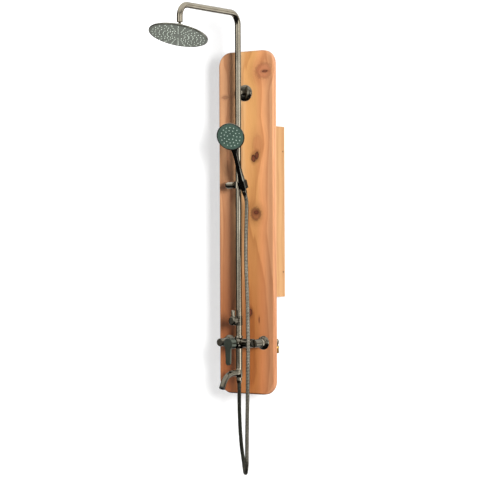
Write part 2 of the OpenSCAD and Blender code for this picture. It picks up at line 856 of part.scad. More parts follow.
module seat_ring() {
    color("black") at_rain_head() difference() {
        sphere(d = seat_d);
        sphere(d = ball_d + 2 * fit);
        rod(-4, seat_d, seat_d + 2);
        rod(-seat_d, 0, 12);
    }
}

module ball_nut() {
    color("darkkhaki") at_rain_head() difference() {
        turned([[0, -16], [nut_d / 2, -16], [nut_d / 2, 1.5], [13.2, 7.5], [0, 7.5]]);
        sphere(d = ball_d + 0.7);
        rod(-17, -1.5, 24);
        rod(0, 10, 18);
    }
}

module rain_head_back() {
    r = rain_d / 2;
    color("darkkhaki") at_rain_head() difference() {
        turned([[8, neck_top], [11.9, neck_top], [11.9, -16.5], [15, -16.5], [16, -19],
            [20, -21.6], [60, -24.4], [r - 5, -26.2], [r - 1.4, -27], [r, -28.6],
            [r, -31.6], [r - 1, -33.2], [r - 3, -33.2], [r - 3, -29.6], [r - 6, -28.2],
            [60, -26.4], [19, -23.6], [8, -20]]);
        sphere(d = seat_d + 2 * fit);
    }
}

module rain_head_plate() {
    color("lightslategray") at_rain_head()
        rod(plate_top - plate_t, plate_top, rain_d - 6 - 2 * fit);
}

module rain_head_nozzles() {
    color("lightgray") at_rain_head()
        for (i = [0:rain_rows - 1], r = rain_row_r)
            if (r > 30 || i % 2 == 0) rotate([0, 0, 360 * (i + 0.5) / rain_rows])
                translate([r, 0, plate_top - plate_t - nozzle_h])
                    cylinder(h = nozzle_h, d1 = 2.4, d2 = 3.6, $fn = 16);
}

cedar_board();
side_strip(-1);  // left_side_strip
side_strip(1);  // right_side_strip
cross_rail(rail_z);  // upper_cross_rail
cross_rail(-rail_z);  // lower_cross_rail
frame_nails();
frame_screws();
bracket_base();
bracket_screws();
bracket_flange();
bracket_stub();
bracket_set_screw();
riser_pipe();
swivel_ball();
diverter_body();
lower_riser();
outlet_collar();
mixer_body();
cartridge();
retaining_nut();
bonnet();
inlet_nipples();
escutcheons();
union_nuts();
inlet_washers();
lock_nuts();
supply_elbow(-1);  // left_supply_elbow
supply_elbow(1);  // right_supply_elbow
hose_adapter(-1);  // left_hose_adapter
hose_adapter(1);  // right_hose_adapter
down_tube();
spout_tee();
spout();
spout_tip();
lower_hose_nut();
hose();
lever_carrier();
lever_pin();
lever_stem();
lever_handle();
handle_screw();
diverter_spindle();
diverter_knob();
diverter_post();
slider_bush();
slider_body();
cradle_screw();
lock_knob();
cradle();
cradle_liner();
handset_body();
handset_face();
handset_nozzles();
upper_hose_nut();
seat_ring();
ball_nut();
rain_head_back();
rain_head_plate();
rain_head_nozzles();
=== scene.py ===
"""Looks of the outdoor shower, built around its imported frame.

Every size is in millimetres and becomes metres where a mesh is made. The axes are the frame's
own: the origin is on the wall at the centre of the four wall screws, Z is up and the shower
faces -Y.
"""

from __future__ import annotations

import json
import logging
import math
import sys
from dataclasses import dataclass
from enum import Enum
from typing import Any, Sequence

import bmesh
import bpy
import numpy as np
from mathutils import Matrix, Vector

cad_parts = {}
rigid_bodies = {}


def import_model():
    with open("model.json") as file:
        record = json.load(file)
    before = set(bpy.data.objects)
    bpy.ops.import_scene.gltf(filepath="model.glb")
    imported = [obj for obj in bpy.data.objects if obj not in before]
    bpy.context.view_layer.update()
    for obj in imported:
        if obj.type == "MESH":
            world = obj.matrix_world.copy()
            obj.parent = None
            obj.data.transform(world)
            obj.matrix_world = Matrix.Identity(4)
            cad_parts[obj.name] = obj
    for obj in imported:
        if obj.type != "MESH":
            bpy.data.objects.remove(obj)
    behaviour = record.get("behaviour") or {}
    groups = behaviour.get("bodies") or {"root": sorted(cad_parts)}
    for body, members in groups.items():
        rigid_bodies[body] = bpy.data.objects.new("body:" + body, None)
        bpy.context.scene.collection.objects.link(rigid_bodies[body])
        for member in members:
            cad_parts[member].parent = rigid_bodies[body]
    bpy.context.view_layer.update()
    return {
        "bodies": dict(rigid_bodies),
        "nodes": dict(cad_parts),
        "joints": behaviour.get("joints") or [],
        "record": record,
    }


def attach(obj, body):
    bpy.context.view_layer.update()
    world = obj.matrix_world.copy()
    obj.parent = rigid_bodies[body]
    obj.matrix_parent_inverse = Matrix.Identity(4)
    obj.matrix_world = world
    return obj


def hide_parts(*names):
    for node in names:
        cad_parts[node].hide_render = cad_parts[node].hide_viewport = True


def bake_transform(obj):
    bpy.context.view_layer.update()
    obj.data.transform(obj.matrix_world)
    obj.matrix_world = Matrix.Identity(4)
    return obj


LOG = logging.getLogger("outdoor_shower")
Array = np.ndarray
Socket = bpy.types.NodeSocket
MM = 0.001

BOARD_FRONT = -109.0
COLUMN_Y = -154.0
COLUMN_REACH = BOARD_FRONT - COLUMN_Y
DROP_Y = -487.0
BALL_Z = 625.0
MIXER_Z = -467.0
DIVERTER_Z = -388.0
SPOUT_Z = -573.0
BRACKET_Z = 424.0
SLIDER_Z = 94.0
HOSE_TOP = (34.0, -160.0, 57.0)
HANDSET_LEAN = 21.6
HANDSET_TURN = 20.0
RAIN_HEAD_TILT = -17.0
WELD = 2e-6
CUT_WELD = 5e-6


class Axis(Enum):
    """The axis that something turns about or runs along."""

    X = 0
    Y = 1
    Z = 2


class Side(Enum):
    """The two sides of the mixer, as the sign of X."""

    LEFT = -1
    RIGHT = 1


# Places


def shift(x: float, y: float, z: float) -> Array:
    """Moves points.

    Args:
        x: The move along X.
        y: The move along Y.
        z: The move along Z.

    Returns:
        A 4 x 4 matrix.
    """
    matrix = np.eye(4)
    matrix[:3, 3] = (x, y, z)
    return matrix


def turn(axis: Axis, degrees: float) -> Array:
    """Turns points about an axis through the origin, counter-clockwise seen from its end.

    Args:
        axis: The axis to turn about.
        degrees: The angle.

    Returns:
        A 4 x 4 matrix with the angle's cosine and sine in the rows of the other two axes.
    """
    angle = math.radians(degrees)
    i, j = (axis.value + 1) % 3, (axis.value + 2) % 3
    matrix = np.eye(4)
    matrix[i, i] = matrix[j, j] = math.cos(angle)
    matrix[i, j], matrix[j, i] = -math.sin(angle), math.sin(angle)
    return matrix


def at_board(x: float, z: float) -> Array:
    """Returns the place on the board's face whose local Z is the distance in front of it."""
    return shift(x, BOARD_FRONT, z) @ turn(Axis.X, 90)


def at_handset() -> Array:
    """Returns the hand shower's place: local Z runs up its handle from the hose's end."""
    return shift(*HOSE_TOP) @ turn(Axis.X, HANDSET_LEAN) @ turn(Axis.Z, HANDSET_TURN)


def at_rain_head() -> Array:
    """Returns the rain head's place: local Z is its axis, up through the ball's centre."""
    return shift(0, DROP_Y, BALL_Z) @ turn(Axis.X, RAIN_HEAD_TILT)


# Surfaces


@dataclass
class Surface:
    """A skin: its points in millimetres, its four-sided faces and its flat end caps."""

    points: Array
    quads: Array
    caps: list[Array]

    def placed(self, matrix: Array) -> Surface:
        """Returns the skin moved and turned by a 4 x 4 matrix."""
        return Surface(self.points @ matrix[:3, :3].T + matrix[:3, 3], self.quads, self.caps)

    def __add__(self, other: Surface) -> Surface:
        """Puts two skins together.

        Args:
            other: The second skin.

        Returns:
            Both, with the second's point numbers moved up.
        """
        n = len(self.points)
        return Surface(
            np.vstack([self.points, other.points]),
            np.vstack([self.quads, other.quads + n]),
            self.caps + [cap + n for cap in other.caps],
        )


def lofted(rows: Array, ring: bool = False) -> Surface:
    """Joins closed rings of points into a skin.

    Face (i, j) has points j and j + 1 of ring i and of ring i + 1, counted round each ring.

    Args:
        rows: Points as (ring, point, 3).
        ring: True joins the last ring to the first; otherwise flat caps close both ends.

    Returns:
        The skin.
    """
    n, m = rows.shape[:2]
    i = np.arange(n if ring else n - 1)[:, None]
    j = np.arange(m)[None, :]
    a, b, k = i * m, (i + 1) % n * m, (j + 1) % m
    quads = np.stack([a + j, a + k, b + k, b + j], -1).reshape(-1, 4)
    caps = [] if ring else [np.arange(m)[::-1], np.arange(m) + (n - 1) * m]
    return Surface(rows.reshape(-1, 3), quads, caps)


def turned(profile: Any, steps: int = 64, loop: bool = False) -> Surface:
    """Spins a profile about local Z, as on a lathe.

    The pair (r, h) goes to (r cos a, r sin a, h) at each angle a.

    Args:
        profile: Pairs of radius and height.
        steps: Number of angles.
        loop: True where the profile is a closed line, as for a ring.

    Returns:
        The skin.
    """
    r, h = np.asarray(profile, float).T[:, :, None]
    a = np.arange(steps)[None, :] * 2 * math.pi / steps
    return lofted(np.stack([r * np.cos(a), r * np.sin(a), h + 0 * a], -1), loop)


def rounded(
    line: Any, radius: Any = 0.6, steps: int = 6, loop: bool = False, limit: float = 0.48
) -> Array:
    """Replaces each corner of a line by an arc of a circle.

    With A and B the arc's ends, C the corner and w the cosine of half the turn, the arc is
    ((1-t)^2 A + 2 w t (1-t) C + t^2 B) / ((1-t)^2 + 2 w t (1-t) + t^2) for t from 0 to 1.

    Args:
        line: Points in two or three dimensions.
        radius: One radius, or one for each point.
        steps: Points on each arc.
        loop: True where the last point joins the first.
        limit: The largest share of a straight stretch that one arc may take.

    Returns:
        The points of the rounded line.
    """
    p = np.asarray(line, float)
    to_last, to_next = np.roll(p, 1, 0) - p, np.roll(p, -1, 0) - p
    last, following = np.linalg.norm(to_last, axis=1), np.linalg.norm(to_next, axis=1)
    u, v = to_last / last[:, None], to_next / following[:, None]
    half = 0.5 * np.arccos(np.clip(-(u * v).sum(1), -1, 1))
    reach = np.minimum(radius * np.tan(half), limit * np.minimum(last, following))[:, None]
    w = np.cos(half)[:, None, None]
    t = np.linspace(0, 1, steps)[None, :, None]
    a, c, b = (p + u * reach)[:, None], p[:, None], (p + v * reach)[:, None]
    under = (1 - t) ** 2 + 2 * w * t * (1 - t) + t**2
    arcs = ((1 - t) ** 2 * a + 2 * w * t * (1 - t) * c + t**2 * b) / under
    if loop:
        return arcs.reshape(-1, p.shape[1])
    return np.vstack([p[:1], arcs[1:-1].reshape(-1, p.shape[1]), p[-1:]])


def lathed(
    profile: Any, radius: Any, steps: int = 64, corner: int = 6, loop: bool = False
) -> Surface:
    """Rounds a profile's corners, then spins it about local Z.

    Args:
        profile: Pairs of radius and height.
        radius: One corner radius, or one for each point.
        steps: Number of angles.
        corner: Points on each corner's arc.
        loop: True where the profile is a closed line, as for a ring.

    Returns:
        The skin.
    """
    return turned(rounded(profile, np.asarray(radius, float), corner, loop), steps, loop)


def without_doubles(path: Array) -> Array:
    """Returns a path without the points that lie within 0.01 mm of the one before."""
    return path[np.append(True, np.linalg.norm(np.diff(path, axis=0), axis=1) > 0.01)]


def arc(cx: float, cy: float, r: float, start: float, end: float, steps: int) -> Array:
    """Returns points (cx + r cos a, cy + r sin a) for a from start to end in degrees."""
    a = np.radians(np.linspace(start, end, steps))
    return np.stack([cx + r * np.cos(a), cy + r * np.sin(a)], -1)


def rings_along(path: Array, radius: Any, across: Any = (1, 0, 0), sides: int = 48) -> Array:
    """Rings of points square to a path.

    With t the path's direction, s the unit part of across that is square to t, and u = t x s,
    point j of a ring is centre + radius (cos a s + sin a u).

    Args:
        path: Points as (ring, 3).
        radius: One radius, or one for each ring.
        across: A direction that the path never follows.
        sides: Points on each ring.

    Returns:
        Points as (ring, point, 3).
    """
    t = np.gradient(path, axis=0)
    t /= np.linalg.norm(t, axis=1)[:, None]
    across = np.asarray(across, float)
    s = across - (t @ across)[:, None] * t
    s /= np.linalg.norm(s, axis=1)[:, None]
    u = np.cross(t, s)
    a = ((np.arange(sides) + 0.5) * 2 * math.pi / sides)[None, :, None]
    r = np.broadcast_to(np.asarray(radius, float), len(path))[:, None, None]
    return path[:, None] + r * (np.cos(a) * s[:, None] + np.sin(a) * u[:, None])


def pipe(path: Array, outer: Any, bore: Any) -> Surface:
    """Returns a pipe's wall: rings out along the outer face and back along the bore."""
    rows = [rings_along(path, outer), rings_along(path, bore)[::-1]]
    return lofted(np.concatenate(rows), ring=True)


def slab(outline: Array, low: float, high: float, ease: float = 1.0, steps: int = 4) -> Surface:
    """A flat plate with eased edges.

    Ring k is the outline moved inwards along its normals by ease (1 - cos q) at a height of
    ease (1 - sin q) from the face, for q from 90 degrees at the face to 0 at the side. One more
    ring lies in each face, further in by border, so that the face shades flat.

    Args:
        outline: Points as (point, 2), counter-clockwise.
        low: Height of the lower face.
        high: Height of the upper face.
        ease: Radius of the edges.
        steps: Rings on each edge.

    Returns:
        The skin.
    """
    tangent = np.roll(outline, -1, 0) - np.roll(outline, 1, 0)
    tangent /= np.linalg.norm(tangent, axis=1)[:, None]
    inward = np.stack([-tangent[:, 1], tangent[:, 0]], -1)
    border = 0.8
    q = np.radians(np.linspace(90, 0, steps))
    inset = np.concatenate([[ease + border], ease * (1 - np.cos(q))])
    height = np.concatenate([[0], ease * (1 - np.sin(q))])
    inset = np.concatenate([inset, inset[::-1]])
    height = np.concatenate([low + height, high - height[::-1]])
    flat = outline[None] + inset[:, None, None] * inward[None]
    level = np.broadcast_to(height[:, None, None], flat.shape[:2] + (1,))
    return lofted(np.concatenate([flat, level], -1))


def repeated(surface: Surface, matrices: Sequence[Array]) -> Surface:
    """Copies a small skin to each place.

    Args:
        surface: The skin.
        matrices: The places, as 4 x 4 matrices.

    Returns:
        All the copies as one skin.
    """
    m = np.stack(matrices)
    points = np.einsum("nij,kj->nki", m[:, :3, :3], surface.points) + m[:, None, :3, 3]
    step = (np.arange(len(m)) * len(surface.points))[:, None, None]
    caps = [cap + int(s) for s in step.ravel() for cap in surface.caps]
    return Surface(points.reshape(-1, 3), (surface.quads[None] + step).reshape(-1, 4), caps)


def added(name: str, data: Any) -> bpy.types.Object:
    """Adds an object to the scene, at the origin.

    Args:
        name: The object's name.
        data: Its mesh, light or camera.

    Returns:
        The object.
    """
    made = bpy.data.objects.new(name, data)
    bpy.context.scene.collection.objects.link(made)
    return made


def mesh_of(name: str, surface: Surface) -> bpy.types.Mesh:
    """Turns a skin into a clean mesh in metres.

    Args:
        name: The mesh's name.
        surface: The skin, with seams and poles still open.

    Returns:
        A mesh with its doubles merged and its faces pointing outwards.
    """
    mesh = bpy.data.meshes.new(name)
    faces = surface.quads.tolist() + [cap.tolist() for cap in surface.caps]
    mesh.from_pydata((surface.points * MM).tolist(), [], faces)
    cleaned(mesh, WELD)
    return mesh


def cleaned(mesh: bpy.types.Mesh, gap: float) -> None:
    """Merges doubled points, drops empty faces and turns all faces outwards.

    Args:
        mesh: The mesh, changed in place.
        gap: Points closer than this, in metres, are merged.
    """
    work = bmesh.new()
    work.from_mesh(mesh)
    bmesh.ops.remove_doubles(work, verts=work.verts, dist=gap)
    bmesh.ops.dissolve_degenerate(work, dist=gap / 2, edges=work.edges)
    bmesh.ops.recalc_face_normals(work, faces=work.faces)
    work.to_mesh(mesh)
    work.free()


def machined(
    name: str, parts: Sequence[Surface], cuts: Sequence[Surface] = ()
) -> bpy.types.Mesh:
    """One closed skin around several overlapping solids, less what is cut from them.

    Args:
        name: The mesh's name.
        parts: Closed skins to join, the first being the stock.
        cuts: Closed skins to cut away.

    Returns:
        The mesh, by exact boolean steps.
    """
    tools = []
    stock = added(name, mesh_of(name, parts[0]))
    work = [(part, "UNION") for part in parts[1:]] + [(cut, "DIFFERENCE") for cut in cuts]
    for surface, operation in work:
        tool = added("tool", mesh_of("tool", surface))
        step = stock.modifiers.new(operation, "BOOLEAN")
        step.operation, step.solver, step.object = operation, "EXACT", tool
        tools.append(tool)
    graph = bpy.context.evaluated_depsgraph_get()
    mesh = bpy.data.meshes.new_from_object(stock.evaluated_get(graph), depsgraph=graph)
    for part in [stock, *tools]:
        old = part.data
        bpy.data.objects.remove(part)
        bpy.data.meshes.remove(old)
    mesh.name = name
    mesh.materials.clear()
    cleaned(mesh, CUT_WELD)
    return mesh


# Shader building


def colour(code: str) -> tuple[float, float, float, float]:
    """Turns a screen colour into a linear one.

    A screen value c is linear c / 12.92 up to 0.04045, and ((c + 0.055) / 1.055)^2.4 above.

    Args:
        code: Six hexadecimal digits, such as "c08040".

    Returns:
        Red, green, blue and 1.
    """
    screen = np.array([int(code[i : i + 2], 16) for i in (0, 2, 4)]) / 255
    linear = np.where(screen > 0.04045, ((screen + 0.055) / 1.055) ** 2.4, screen / 12.92)
    return (*linear.tolist(), 1.0)


class Sheet:
    """A node tree with short ways to add and join its nodes."""

    def __init__(self, tree: bpy.types.NodeTree) -> None:
        """Keeps the tree to draw in."""
        self.tree = tree

    def feed(self, socket: Socket, value: Any) -> None:
        """Links an input to another socket, or gives it a constant.

        Args:
            socket: The input.
            value: A socket, or a constant.
        """
        if isinstance(value, bpy.types.NodeSocket):
            self.tree.links.new(value, socket)
        else:
            socket.default_value = value

    def add(self, kind: str, settings: dict[str, Any] | None = None, **inputs: Any) -> Any:
        """Adds a node.

        Args:
            kind: The node's type, without its ShaderNode prefix.
            settings: Properties of the node.
            **inputs: Values or sockets by input name, with _ for a space.

        Returns:
            The node.
        """
        node = self.tree.nodes.new("ShaderNode" + kind)
        for key, value in (settings or {}).items():
            setattr(node, key, value)
        for key, value in inputs.items():
            self.feed(node.inputs[key.replace("_", " ")], value)
        return node

    def math(self, operation: str, a: Any, b: Any = 0.0, c: Any = 0.0) -> Socket:
        """Adds a Math node.

        Args:
            operation: The node's operation.
            a: A socket or a number.
            b: The second one, if the operation has it.
            c: The third one, if it has that.

        Returns:
            The result.
        """
        node = self.add("Math", {"operation": operation})
        for socket, value in zip(node.inputs, (a, b, c)):
            self.feed(socket, value)
        return node.outputs[0]

    def vector(self, operation: str, a: Any, b: Any) -> Socket:
        """Adds a Vector Math node.

        Args:
            operation: The node's operation.
            a: A socket or three numbers.
            b: The same.

        Returns:
            The result: a value for a dot product, and otherwise a vector.
        """
        node = self.add("VectorMath", {"operation": operation})
        self.feed(node.inputs[0], a)
        self.feed(node.inputs[1], b)
        return node.outputs["Value" if operation == "DOT_PRODUCT" else "Vector"]

    def stretched(self, vector: Socket, scale: Sequence[float]) -> Socket:
        """Returns a vector scaled along its three axes by a Mapping node."""
        return self.add("Mapping", Vector=vector, Scale=tuple(scale)).outputs[0]

    def noise(
        self, vector: Socket, scale: Any = 1.0, detail: float = 2.0, rough: float = 0.5
    ) -> Socket:
        """Returns a cloud of values from 0 to 1, centred on a half."""
        node = self.add("TexNoise", Vector=vector, Scale=scale, Detail=detail, Roughness=rough)
        return node.outputs["Fac"]

    def remap(self, value: Any, low: float, high: float, a: Any = 0.0, b: Any = 1.0) -> Socket:
        """Takes a value from one range to another by a smooth step.

        With t the clamped share of the way from low to high, it is a + (b - a) (3 t^2 - 2 t^3).

        Args:
            value: The socket to read.
            low: Where the step starts.
            high: Where it ends.
            a: The result at low and below.
            b: The result at high and above.

        Returns:
            The result.
        """
        node = self.add("MapRange", {"interpolation_type": "SMOOTHSTEP"}, Value=value)
        for key, number in (("From Min", low), ("From Max", high), ("To Min", a), ("To Max", b)):
            self.feed(node.inputs[key], number)
        return node.outputs[0]

    def mix(self, share: Any, a: Any, b: Any, blend: str = "MIX") -> Socket:
        """Blends two colours.

        Args:
            share: How much of the second shows, from 0 to 1.
            a: The first colour.
            b: The second colour.
            blend: The blend type.

        Returns:
            The colour.
        """
        node = self.add("Mix", {"data_type": "RGBA", "blend_type": blend})
        for index, value in ((0, share), (6, a), (7, b)):
            self.feed(node.inputs[index], value)
        return node.outputs[2]

    def ramp(self, value: Socket, stops: Sequence[tuple[float, str]]) -> Socket:
        """Reads a colour from a ramp.

        Args:
            value: The socket to read.
            stops: Pairs of a place from 0 to 1 and a screen colour.

        Returns:
            The colour.
        """
        node = self.add("ValToRGB", Fac=value)
        elements = node.color_ramp.elements
        while len(elements) < len(stops):
            elements.new(0.5)
        for element, (place, code) in zip(elements, stops):
            element.position, element.color = place, colour(code)
        return node.outputs["Color"]

    def bump(self, height: Socket, distance: float, strength: float = 1.0) -> Socket:
        """Returns a normal tilted by a height in metres times distance."""
        node = self.add("Bump", Height=height, Strength=strength, Distance=distance)
        return node.outputs["Normal"]

    def group(self, tree: bpy.types.NodeTree, **inputs: Any) -> Any:
        """Places a shared effect.

        Args:
            tree: The effect's node group.
            **inputs: Values or sockets by input name.

        Returns:
            The outputs, by name.
        """
        node = self.add("Group", {"node_tree": tree})
        for key, value in inputs.items():
            self.feed(node.inputs[key.replace("_", " ")], value)
        return node.outputs


def blank_material(name: str) -> tuple[bpy.types.Material, Sheet]:
    """Makes a material without nodes.

    Args:
        name: The material's name.

    Returns:
        The material and the sheet to draw it on.
    """
    made = bpy.data.materials.new(name)
    made.use_nodes = True
    made.node_tree.nodes.clear()
    return made, Sheet(made.node_tree)


@dataclass
class Effect:
    """A shared shader effect: a node group with named inputs and outputs."""

    name: str
    inputs: dict[str, Any]
    outputs: Sequence[str]

    def started(self) -> tuple[Sheet, Any, Any, bool]:
        """Makes the group's tree, unless it is there already.

        Returns:
            The sheet to draw in, the group's input sockets, its output node and whether the
            group was there already.
        """
        tree = bpy.data.node_groups.get(self.name)
        if tree is not None:
            return Sheet(tree), None, None, True
        tree = bpy.data.node_groups.new(self.name, "ShaderNodeTree")
        for key, value in self.inputs.items():
            kind = "NodeSocketVector" if value is None else "NodeSocketFloat"
            socket = tree.interface.new_socket(key, in_out="INPUT", socket_type=kind)
            if value is not None:
                socket.default_value = value
        for key in self.outputs:
            tree.interface.new_socket(key, in_out="OUTPUT", socket_type="NodeSocketFloat")
        sheet = Sheet(tree)
        source = tree.nodes.new("NodeGroupInput").outputs
        return sheet, source, tree.nodes.new("NodeGroupOutput").inputs, False


def lumber_grain() -> bpy.types.NodeTree:
    """The grain of a sawn board.

    Rings are the fraction of the distance from the tree's axis times Rings, wavered by slow
    noise along the grain; each darkens slowly and ends at once. Fibres are noise stretched
    along the grain.

    Returns:
        The group: Vector in metres with the grain along Z, Rings per metre, Waver and Depth in
        metres, Depth being how far the tree's axis lies behind the piece; it puts out Rings,
        slow Bands, Fibres and Height.
    """
    effect = Effect(
        "lumber grain",
        {"Vector": None, "Rings": 60.0, "Waver": 0.01, "Depth": 0.2},
        ("Rings", "Bands", "Fibres", "Height"),
    )
    s, source, out, ready = effect.started()
    if ready:
        return s.tree
    where = source["Vector"]
    slow = s.noise(s.stretched(where, (7, 7, 1.1)), 1.0, 2.0)
    drift = s.math("MULTIPLY", s.math("SUBTRACT", slow, 0.5), source["Waver"])
    axis = s.add("SeparateXYZ", Vector=where).outputs
    along = s.noise(s.stretched(where, (2, 2, 2.3)), 1.0, 1.0)
    u = s.math("ADD", axis[0], s.math("MULTIPLY", drift, 4.0))
    v = s.math("ADD", axis[1], s.math("MULTIPLY_ADD", along, 0.06, source["Depth"]))
    far = s.math("SQRT", s.math("ADD", s.math("MULTIPLY", u, u), s.math("MULTIPLY", v, v)))
    uneven = s.noise(s.stretched(where, (22, 22, 1.6)), 1.0, 3.0, 0.6)
    ring = s.math("MULTIPLY_ADD", uneven, 1.6, s.math("MULTIPLY", far, source["Rings"]))
    saw = s.math("POWER", s.math("FRACT", ring), 2.2)
    edge = s.remap(s.math("FRACT", ring), 0.86, 1.0, 1.0, 0.0)
    rings = s.math("MULTIPLY", saw, edge)
    bands = s.noise(s.stretched(where, (20, 20, 0.7)), 1.0, 3.0, 0.55)
    fibres = s.noise(s.stretched(where, (900, 900, 16)), 1.0, 3.0, 0.65)
    height = s.math("MULTIPLY_ADD", rings, 0.45, s.math("MULTIPLY", fibres, 0.4))
    for key, value in zip(effect.outputs, (rings, bands, fibres, height)):
        s.feed(out[key], value)
    return s.tree


def branch_knot() -> bpy.types.NodeTree:
    """A knot in a board's face.

    The place is measured from Centre in knot widths and heights, wobbled by noise. Core is 1
    inside, Rim marks its dark edge, Halo the stained wood around it, and Push is how far the
    grain lines move aside, falling off as exp(-d^2 / 3).

    Returns:
        The group: Vector, Centre, Width and Height in metres; it puts out Push in metres, Core,
        Rim and Halo.
    """
    effect = Effect(
        "branch knot",
        {"Vector": None, "Centre": None, "Width": 0.01, "Height": 0.01},
        ("Push", "Core", "Rim", "Halo"),
    )
    s, source, out, ready = effect.started()
    if ready:
        return s.tree
    where = s.add("SeparateXYZ", Vector=s.vector("SUBTRACT", source["Vector"], source["Centre"]))
    wobble = s.math("MULTIPLY_ADD", s.noise(source["Vector"], 160.0, 3.0, 0.6), 0.9, -0.45)
    x = s.math("DIVIDE", where.outputs[0], source["Width"])
    z = s.math("DIVIDE", where.outputs[2], source["Height"])
    square = s.math("ADD", s.math("MULTIPLY", x, x), s.math("MULTIPLY", z, z))
    d = s.math("ADD", s.math("SQRT", square), wobble)
    fall = s.math("EXPONENT", s.math("MULTIPLY", square, -0.33))
    reach = s.math("MULTIPLY", source["Width"], 0.8)
    s.feed(out["Push"], s.math("MULTIPLY", s.math("MULTIPLY", x, fall), reach))
    s.feed(out["Core"], s.remap(d, 0.75, 1.05, 1.0, 0.0))
    rim = s.math("MULTIPLY", s.remap(d, 0.55, 0.95), s.remap(d, 0.95, 1.3, 1.0, 0.0))
    s.feed(out["Rim"], rim)
    s.feed(out["Halo"], s.remap(d, 0.9, 2.6, 1.0, 0.0))
    return s.tree


def fine_streaks() -> bpy.types.NodeTree:
    """Brushing, smears and dried drops on metal or plastic.

    Streaks is fine noise stretched along Z, Smears slow clouds, Drops the edges of small cells
    that a second noise lets through in places.

    Returns:
        The group: Vector in metres and Grain per metre; it puts out Streaks, Smears and Drops.
    """
    effect = Effect(
        "fine streaks", {"Vector": None, "Grain": 900.0}, ("Streaks", "Smears", "Drops")
    )
    s, source, out, ready = effect.started()
    if ready:
        return s.tree
    where = source["Vector"]
    streaks = s.noise(s.stretched(where, (1, 1, 0.06)), source["Grain"], 3.0, 0.6)
    smears = s.noise(where, 24.0, 4.0, 0.6)
    cells = s.add("TexVoronoi", {"feature": "F1"}, Vector=where, Scale=170.0)
    spot = s.remap(cells.outputs["Distance"], 0.16, 0.26, 1.0, 0.0)
    few = s.remap(s.noise(where, 34.0, 2.0), 0.56, 0.62)
    s.feed(out["Streaks"], streaks)
    s.feed(out["Smears"], smears)
    s.feed(out["Drops"], s.math("MULTIPLY", spot, few))
    return s.tree


@dataclass(frozen=True)
class Finish:
    """A surface finish, made into a material once."""

    name: str

    def material(self) -> bpy.types.Material:
        """Makes the finish's material, the first time that it is asked for.

        Returns:
            The one material of this finish.
        """
        found = bpy.data.materials.get(self.name)
        if found is not None:
            return found
        made, sheet = blank_material(self.name)
        shader = sheet.add("BsdfPrincipled")
        sheet.add("OutputMaterial", Surface=shader.outputs[0])
        where = sheet.add("TexCoord").outputs["Object"]
        self.draw(sheet, shader.inputs, where)
        return made

    def draw(self, s: Sheet, shader: Any, where: Socket) -> None:
        """Draws the finish's nodes; each kind of finish has its own."""
        raise NotImplementedError


@dataclass(frozen=True)
class Metal(Finish):
    """Plated, brushed or raw metal."""

    base: str
    other: str
    roughness: float
    streak: float = 0.05
    drops: float = 0.08
    grain: float = 900.0
    relief: float = 0.00002

    def painted_shade(self, s: Sheet, where: Socket, metal_colour: Socket) -> Socket:
        """Returns the metal's colour with shade painted by its own form; plain metal has none."""
        return metal_colour

    def draw(self, s: Sheet, shader: Any, where: Socket) -> None:
        """Mixes two tones by smears, and roughens the metal by streaks and dried drops.

        Args:
            s: The material's sheet.
            shader: The inputs of its principled shader.
            where: Place in metres.
        """
        marks = s.group(fine_streaks(), Vector=where, Grain=self.grain)
        tone = s.remap(marks["Smears"], 0.3, 0.7)
        metal_colour = s.mix(tone, colour(self.base), colour(self.other))
        s.feed(shader["Base Color"], self.painted_shade(s, where, metal_colour))
        shader["Metallic"].default_value = 1.0
        low, high = self.roughness - self.streak, self.roughness + self.streak
        rough = s.remap(marks["Streaks"], 0.25, 0.75, low, high)
        rough = s.math("MULTIPLY_ADD", marks["Drops"], self.drops, rough)
        rough = s.math("MULTIPLY_ADD", s.math("SUBTRACT", tone, 0.5), self.streak, rough)
        s.feed(shader["Roughness"], rough)
        s.feed(shader["Normal"], s.bump(marks["Streaks"], self.relief, 0.5))


@dataclass(frozen=True)
class Interlocked(Metal):
    """A hose's interlocked strip, with painted shade in its grooves and on its hanging loop."""

    # groove is painted shade in the hollows between the ribs; crown is the span over which it
    # fades
    groove: str = "1d1e1b"
    crown: tuple[float, float] = (0.1, 0.75)
    # loop is painted shade on the hanging loop, strongest low down on its left strand
    loop: str = "666b6a"
    loop_shade_z: tuple[float, float] = (-0.66, -0.5)
    loop_shade_x: tuple[float, float] = (0.01, 0.08)

    def painted_shade(self, s: Sheet, where: Socket, metal_colour: Socket) -> Socket:
        """Darkens the grooves by the mesh's crown attribute, and the loop by its height, both as
        painted shade.

        Args:
            s: The material's sheet.
            where: Place in metres.
            metal_colour: The plain metal's colour.

        Returns:
            The colour.
        """
        crown = s.add("Attribute", {"attribute_name": "crown"}).outputs["Fac"]
        axis = s.add("SeparateXYZ", Vector=where).outputs
        # Painted shade on the hanging loop, low down and more on its left strand.
        low = s.remap(axis[2], *self.loop_shade_z, 1.0, 0.0)
        side = s.remap(axis[0], *self.loop_shade_x, 1.0, 0.5)
        metal_colour = s.mix(s.math("MULTIPLY", low, side), metal_colour, colour(self.loop), "MULTIPLY")
        # Painted shade in the grooves between the ribs.
        return s.mix(s.remap(crown, *self.crown), colour(self.groove), metal_colour)


